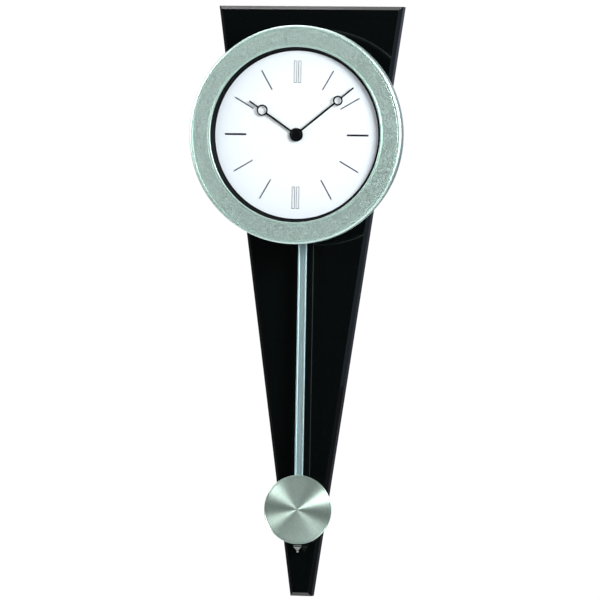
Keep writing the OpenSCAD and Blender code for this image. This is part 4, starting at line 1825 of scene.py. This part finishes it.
@dataclass
class Movement:
    """The quartz movement: eased shells and the gears, coils and contacts inside them."""

    ease: float = 0.3
    knob_ease: float = 0.06
    battery_r: float = 7.2

    def shells(self) -> None:
        """Builds the front and back shells and the bearing plate."""
        for node, name, finish in (
            ("movement_front", "front_shell", MOVEMENT_PLASTIC),
            ("movement_back", "back_shell", MOVEMENT_PLASTIC),
            ("movement_middle_plate", "bearing_plate", PLATE_PLASTIC),
        ):
            mould(node, name, self.ease, finish)

    def battery(self) -> None:
        """Builds the cell with its crimped ends and plain sleeve."""
        low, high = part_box("battery")
        axis = middle_of("battery")
        r, foot, top = self.battery_r * MM, low.z, high.z
        shoulder = top - 1.3 * MM
        run = [
            (0, foot + 0.05 * MM, 0), (0.72 * r, foot, 0.3 * MM), (0.78 * r, foot + 0.5 * MM, 0.2 * MM),
            (0.94 * r, foot + 0.5 * MM, 0.2 * MM), (r, foot + 0.7 * MM, 0.4 * MM),
            (r, shoulder - 0.2 * MM, 0.5 * MM), (0.86 * r, shoulder, 0.2 * MM),
            (0.8 * r, shoulder - 0.3 * MM, 0.2 * MM), (2.9 * MM, shoulder - 0.2 * MM, 0.2 * MM),
            (2.7 * MM, top, 0.4 * MM), (0, top, 0),
        ]
        line = rounded(run, closed=False)
        printed = (foot + 0.6 * MM, shoulder - 0.25 * MM)
        bands = [
            0 if printed[0] < (a[1] + b[1]) / 2 < printed[1] and a[0] > 0.9 * r else 1
            for a, b in zip(line, line[1:])
        ]
        cell = Turned(line, axis, Axis.UP, 64, bands=bands).build("cell_aa")
        sleeve = BatterySleeve("battery_sleeve", (0.03, 0.035, 0.04), (0.45, 0.2, 0.09), top - 17 * MM)
        hand_over(dress(cell, sleeve, CONTACT), "cell", "battery_sleeve", "battery")

    def build(self) -> None:
        """Builds what shows and dresses what is inside."""
        self.shells()
        self.battery()
        mould("set_knob", "setting_knob", self.knob_ease, KNOB_PLASTIC, "setting", 35)
        for node, finish in (
            ("hand_bush", BRASS), ("hex_nut", BRASS), ("brass_washer", BRASS), ("rubber_washer", RUBBER),
            ("circuit_board", LAMINATE), ("quartz_crystal", CONTACT), ("motor_bobbin", PLATE_PLASTIC),
            ("motor_winding", COPPER), ("motor_stator", STATOR_IRON), ("drive_bobbin", PLATE_PLASTIC),
            ("drive_winding", COPPER), ("minute_arbor", BRASS), ("hour_wheel", WHEEL_PLASTIC),
            ("motion_wheel", WHEEL_PLASTIC), ("centre_wheel", BRASS), ("third_wheel", WHEEL_PLASTIC),
            ("seconds_wheel", WHEEL_PLASTIC), ("step_wheel", WHEEL_PLASTIC), ("rotor_pinion", WHEEL_PLASTIC),
            ("rotor_magnet", FERRITE), ("battery_positive_contact", CONTACT),
            ("battery_negative_contact", CONTACT), ("pivot_pin", ZINC), ("drive_magnet", FERRITE),
        ):
            dress_node(node, finish)


@dataclass
class Pendulum:
    """The hanger arm, the hook, the channelled rod and its threaded end (mm)."""

    lip: float = 1.6
    sink: float = 1.1
    end_ease: float = 0.2
    arm_ease: float = 0.35
    hook_ease: float = 0.12
    ball_steps: int = 20
    stud_r: float = 1.2
    thread_pitch: float = 0.7
    thread_depth: float = 0.16
    ball_r: float = 1.3

    def rod(self) -> bpy.types.Object:
        """Makes the rod: two raised bright edges beside a sunk satin channel.

        Returns:
            The mesh object.
        """
        low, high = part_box("pendulum_rod")
        half, back, front = high.x, -high.y, -low.y
        lip, sink = self.lip * MM, self.sink * MM
        soft = 0.35 * MM
        section = rounded([
            (-half, back, soft), (half, back, soft), (half, front, 0.5 * MM), (half - lip, front, 0.4 * MM),
            (half - lip, front - sink, 0.15 * MM), (-half + lip, front - sink, 0.15 * MM),
            (-half + lip, front, 0.4 * MM), (-half, front, 0.5 * MM),
        ], steps=4)
        bm = bmesh.new()
        rings = []
        ease = self.end_ease * MM
        middle = (back + front) / 2
        for z, inset in ((low.z, ease), (low.z + ease, 0), (high.z - ease, 0), (high.z, ease)):
            scale = 1 - inset / half
            rings.append([bm.verts.new((x * scale, -(middle + (d - middle) * scale), z)) for x, d in section])
        for i, wall in enumerate(bridged(bm, rings)):
            here, after = section[i % len(section)], section[(i + 1) % len(section)]
            x = abs(here[0] + after[0]) / 2
            depth = (here[1] + after[1]) / 2
            sunk = x < half - lip + 0.1 * MM and depth > back + 0.8 * MM
            wall.material_index = 0 if sunk else 1
        return soft_edges(as_object("rod", bm), 40)

    def stud(self) -> bpy.types.Object:
        """Makes the threaded end with its ball.

        Returns:
            The mesh object.
        """
        low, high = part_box("rod_stud")
        axis = middle_of("rod_stud")
        radius, pitch, deep = self.stud_r * MM, self.thread_pitch * MM, self.thread_depth * MM
        start, end = low.z + 1.6 * self.ball_r * MM, high.z
        steps, around = int((end - start) / (pitch / 6)), 24
        bm = bmesh.new()
        rings = []
        for i in range(steps + 1):
            z = start + (end - start) * i / steps
            ring = []
            for k in range(around):
                turn = TURN * k / around
                phase = (z / pitch - k / around) % 1.0
                r = radius - deep * (1 - abs(2 * phase - 1)) * (0 < i < steps)
                ring.append(bm.verts.new((axis.x + r * math.cos(turn), axis.y + r * math.sin(turn), z)))
            rings.append(ring)
        bridged(bm, rings)
        shaft = soft_edges(as_object("stud", bm), 60)
        ball = self.ball_r * MM
        middle = low.z + ball
        turns = [math.pi * k / self.ball_steps for k in range(self.ball_steps + 1)]
        line = [(ball * math.sin(t), middle - ball * math.cos(t)) for t in turns]
        line[0], line[-1] = (0.0, line[0][1]), (0.0, line[-1][1])
        end_ball = Turned(line, axis, Axis.UP, 32).build("ball")
        return joined("threaded_end", [shaft, end_ball])

    def build(self) -> None:
        """Builds the whole swinging part apart from the bob."""
        mould("hanger_arm", "swing_arm", self.arm_ease, ARM_PLASTIC, "pendulum")
        mould("rod_hook", "hook", self.hook_ease, ZINC, "pendulum")
        hand_over(dress(self.rod(), ROD_CHANNEL, ROD_EDGE), "pendulum", "satin_rod", "pendulum_rod")
        hand_over(dress(self.stud(), POLISHED_NUT), "pendulum", "satin_rod", "rod_stud")


@dataclass
class Bob:
    """The spun disc, the weight and clip behind it and the rating nut below (mm)."""

    rim: float = 1.0
    groove_w: float = 0.7
    groove_deep: float = 0.5
    edge_drop: float = 2.4
    sheet_t: float = 0.9
    crown: float = 2.0
    dome_steps: int = 20
    bead_steps: int = 8
    under_steps: int = 8
    weight_ease: float = 0.3
    clip_ease: float = 0.15
    nut_ribs: int = 24
    nut_rib_depth: float = 0.22

    def face(self) -> bpy.types.Object:
        """Makes the spun face: a shallow dome with a bright turned-over rim and a groove painted dark as
        painted shade.

        Returns:
            The mesh object.
        """
        radius = half_width("bob_face")
        back, front = depth_span("bob_face")
        lip = radius - self.rim * MM
        edge = lip - self.groove_w * MM
        bead = self.rim * MM / 2
        drop = self.edge_drop * MM
        floor = front - drop - self.groove_deep * MM
        shares = [k / self.dome_steps for k in range(self.dome_steps + 1)]
        dome = [(edge * share, front - drop * share**self.crown) for share in shares]
        groove = [(edge, floor), (lip, floor)]
        turns = [math.pi * k / self.bead_steps for k in range(1, self.bead_steps + 1)]
        rest = [
            *((lip + bead * (1 - math.cos(t)), front - drop - bead + bead * math.sin(t)) for t in turns),
            (radius, back + 0.1 * MM), (radius - 0.3 * MM, back), (radius - 0.7 * MM, back),
            (radius - 1 * MM, back + 0.2 * MM), (radius - 1 * MM, front - drop - 1 * MM),
        ]
        inner = front - self.sheet_t * MM
        shares = [k / self.under_steps for k in range(self.under_steps - 1, -1, -1)]
        under = [(edge * share, inner - drop * share**self.crown) for share in shares]
        line = [*dome, *groove, *rest, *under]
        spans = (self.dome_steps, len(groove), len(line) - 1 - self.dome_steps - len(groove))
        # Band 2, the groove, takes the painted-shade finish.
        bands = [0] * spans[0] + [2] * spans[1] + [1] * spans[2]
        return Turned(line, middle_of("bob_face"), segments=192, bands=bands).build("spun_disc")

    def nut(self) -> bpy.types.Object:
        """Makes the knurled cone nut.

        Returns:
            The mesh object.
        """
        low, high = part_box("rating_nut")
        axis = middle_of("rating_nut")
        radius, bore = half_width("rating_nut"), 1.25 * MM
        foot = low.z
        run = [
            (bore, foot, 0.05 * MM), (1.9 * MM, foot, 0.15 * MM), (2.3 * MM, foot + 0.9 * MM, 0.3 * MM),
            (radius, foot + 3.2 * MM, 0.25 * MM), (radius, foot + 4.5 * MM, 0.25 * MM),
            (radius - 0.6 * MM, high.z, 0.25 * MM), (bore, high.z, 0.05 * MM),
        ]
        line = rounded(run, closed=True)
        ribbed = [i for i, (r, _) in enumerate(line) if r > radius - 0.3 * MM]
        return Turned(
            line, axis, Axis.UP, self.nut_ribs * 8, True, ribs=self.nut_ribs,
            rib_depth=self.nut_rib_depth * MM, rib_points=(min(ribbed), max(ribbed)),
        ).build("cone_nut")

    def build(self) -> None:
        """Builds the bob and the nut that carries it."""
        sheet = SpunSheet("spun_bob", (0.5, 0.63, 0.56), middle_of("bob_face"))
        # The third material is the painted shade in the groove.
        hand_over(dress(self.face(), sheet, BOB_RIM, BOB_GROOVE_SHADE), "bob", "spun_bob", "bob_face")
        mould("bob_weight", "steel_disc", self.weight_ease, BOB_STEEL, "bob")
        mould("bob_clip", "clip_plate", self.clip_ease, ZINC, "bob")
        hand_over(dress(self.nut(), POLISHED_NUT), "regulator", "polished_nut", "rating_nut")


# ---------------------------------------------------------------- studio


@dataclass
class SoftBox:
    """One soft lamp: where it stands from the clock's middle, its size and its power."""

    name: str
    azimuth_deg: float
    elevation_deg: float
    distance: float
    width: float
    height: float
    power: float
    colour: Colour = (1.0, 1.0, 1.0)

    def build(self, target: Vector) -> None:
        """Sets the lamp up, aimed at the target.

        Args:
            target: the point that it faces.
        """
        turn, lift = math.radians(self.azimuth_deg), math.radians(self.elevation_deg)
        way = Vector((math.sin(turn) * math.cos(lift), -math.cos(turn) * math.cos(lift), math.sin(lift)))
        data = bpy.data.lights.new(self.name, "AREA")
        data.shape = "RECTANGLE"
        data.size, data.size_y = self.width, self.height
        data.energy = self.power
        data.color = self.colour
        lamp = bpy.data.objects.new(self.name, data)
        bpy.context.scene.collection.objects.link(lamp)
        lamp.location = target + way * self.distance
        lamp.rotation_euler = (-way).to_track_quat("-Z", "Y").to_euler()
        lamp.visible_camera = False


@dataclass
class Studio:
    """A white surround, a pale floor, soft lamps and the camera."""

    azimuth_deg: float = 14.1
    distance: float = 6.5
    lens_mm: float = 391.0
    roll_deg: float = 1.0
    aim: Vector = field(default_factory=lambda: Vector((-0.0017, -0.03, -0.268)))
    eye_height: float = -0.25
    surround: float = 0.3
    dark: float = 0.02
    dark_from_deg: float = 38.0
    dark_full_deg: float = 13.0
    front_tint: Colour = (0.93, 0.97, 1.0)
    back_tint: Colour = (0.86, 0.88, 1.12)
    tint_span: Point2 = (0.1, 0.7)
    low_share: float = 0.25
    low_span: Point2 = (-0.08, 0.02)
    backdrop: float = 1.02
    floor_gap: float = 0.8
    floor_r: float = 2.2

    def camera(self) -> None:
        """Sets the camera up."""
        turn = math.radians(self.azimuth_deg)
        data = bpy.data.cameras.new("camera")
        data.lens = self.lens_mm
        data.sensor_width = 36.0
        eye = bpy.data.objects.new("camera", data)
        bpy.context.scene.collection.objects.link(eye)
        spot = self.aim + Vector((math.sin(turn), -math.cos(turn), 0)) * self.distance
        eye.location = (spot.x, spot.y, self.eye_height)
        look = (self.aim - eye.location).to_track_quat("-Z", "Y")
        roll = Matrix.Rotation(math.radians(self.roll_deg), 3, "Z").to_quaternion()
        eye.rotation_euler = (look @ roll).to_euler()
        bpy.context.scene.camera = eye

    def world(self) -> None:
        """Lights the surround: white behind the clock, dimmer in front of the lacquer."""
        world = bpy.data.worlds.new("studio")
        bpy.context.scene.world = world
        world.use_nodes = True
        nodes, links = world.node_tree.nodes, world.node_tree.links
        nodes.clear()
        coords = nodes.new("ShaderNodeTexCoord")
        dark_way = nodes.new("ShaderNodeVectorMath")
        dark_way.operation = "DOT_PRODUCT"
        turn = math.radians(-self.azimuth_deg)
        dark_way.inputs[1].default_value = (math.sin(turn), -math.cos(turn), 0.0)
        links.new(coords.outputs["Generated"], dark_way.inputs[0])

        def eased(source: bpy.types.NodeSocket, ends: Point2, values: Point2) -> bpy.types.NodeSocket:
            """Maps a value smoothly from one range on to another."""
            node = nodes.new("ShaderNodeMapRange")
            node.interpolation_type = "SMOOTHSTEP"
            for name, value in zip(("From Min", "From Max", "To Min", "To Max"), (*ends, *values)):
                node.inputs[name].default_value = value
            links.new(source, node.inputs["Value"])
            return node.outputs[0]

        rim = tuple(math.cos(math.radians(a)) for a in (self.dark_from_deg, self.dark_full_deg))
        fade = eased(dark_way.outputs["Value"], rim, (self.surround, self.dark))
        parts = nodes.new("ShaderNodeSeparateXYZ")
        links.new(coords.outputs["Generated"], parts.inputs[0])
        tint = nodes.new("ShaderNodeValToRGB")
        stops = zip(tint.color_ramp.elements, self.tint_span, (self.front_tint, self.back_tint))
        for element, place, colour in stops:
            element.color = (*colour, 1.0)
            element.position = place
        links.new(parts.outputs["Y"], tint.inputs[0])
        low = eased(parts.outputs["Z"], self.low_span, (self.low_share, 1.0))
        strength = nodes.new("ShaderNodeMath")
        strength.operation = "MULTIPLY"
        links.new(fade, strength.inputs[0])
        links.new(low, strength.inputs[1])
        room = nodes.new("ShaderNodeBackground")
        links.new(tint.outputs[0], room.inputs["Color"])
        links.new(strength.outputs[0], room.inputs["Strength"])
        white = nodes.new("ShaderNodeBackground")
        white.inputs["Color"].default_value = (1, 1, 1, 1)
        white.inputs["Strength"].default_value = self.backdrop
        path = nodes.new("ShaderNodeLightPath")
        mix = nodes.new("ShaderNodeMixShader")
        links.new(path.outputs["Is Camera Ray"], mix.inputs[0])
        links.new(room.outputs[0], mix.inputs[1])
        links.new(white.outputs[0], mix.inputs[2])
        links.new(mix.outputs[0], nodes.new("ShaderNodeOutputWorld").inputs[0])

    def floor(self) -> None:
        """Lays a pale round floor well below the clock."""
        low = Vector(CAD_BOX[0])
        bm = bmesh.new()
        bmesh.ops.create_circle(bm, cap_ends=True, segments=96, radius=self.floor_r)
        bmesh.ops.translate(bm, verts=bm.verts, vec=(0, 0, low.z - self.floor_gap))
        ground = as_object("floor", bm)
        paint = Finish("floor_paint", (0.86, 0.87, 0.88), roughness=0.7, variation=0.01, grain=4.0)
        dress(ground, paint)

    def build(self) -> None:
        """Builds the studio."""
        middle = (Vector(CAD_BOX[0]) + Vector(CAD_BOX[1])) / 2
        for lamp in (
            SoftBox("key", 50, 19, 1.9, 0.7, 0.8, 68),
            SoftBox("left", -63, 18, 1.9, 1.5, 0.55, 25),
            SoftBox("overhead", -60, 80, 1.5, 1.3, 1.0, 7.5),
            SoftBox("overhead_strip", -90, 72, 1.3, 0.08, 0.4, 3.0),
            SoftBox("right_card", 80, 4, 1.6, 0.8, 1.0, 0.7, (0.5, 0.7, 1.0)),
            SoftBox("back_fill", 195, 35, 2.2, 1.2, 1.2, 30),
        ):
            lamp.build(middle)
        self.world()
        self.floor()
        self.camera()
        bpy.context.scene.view_settings.view_transform = "Standard"


def main() -> None:
    """Builds the clock's sub-assemblies in order, then the studio."""
    logging.basicConfig(level=logging.INFO, format="%(name)s %(message)s")
    for kind in (BackBoard, WallFixings, CaseDrum, Bezel, Dial, Hands, Movement, Pendulum, Bob):
        LOG.info("building %s", kind.__name__)
        kind().build()
    Studio().build()


if __name__ == "__main__":
    main()
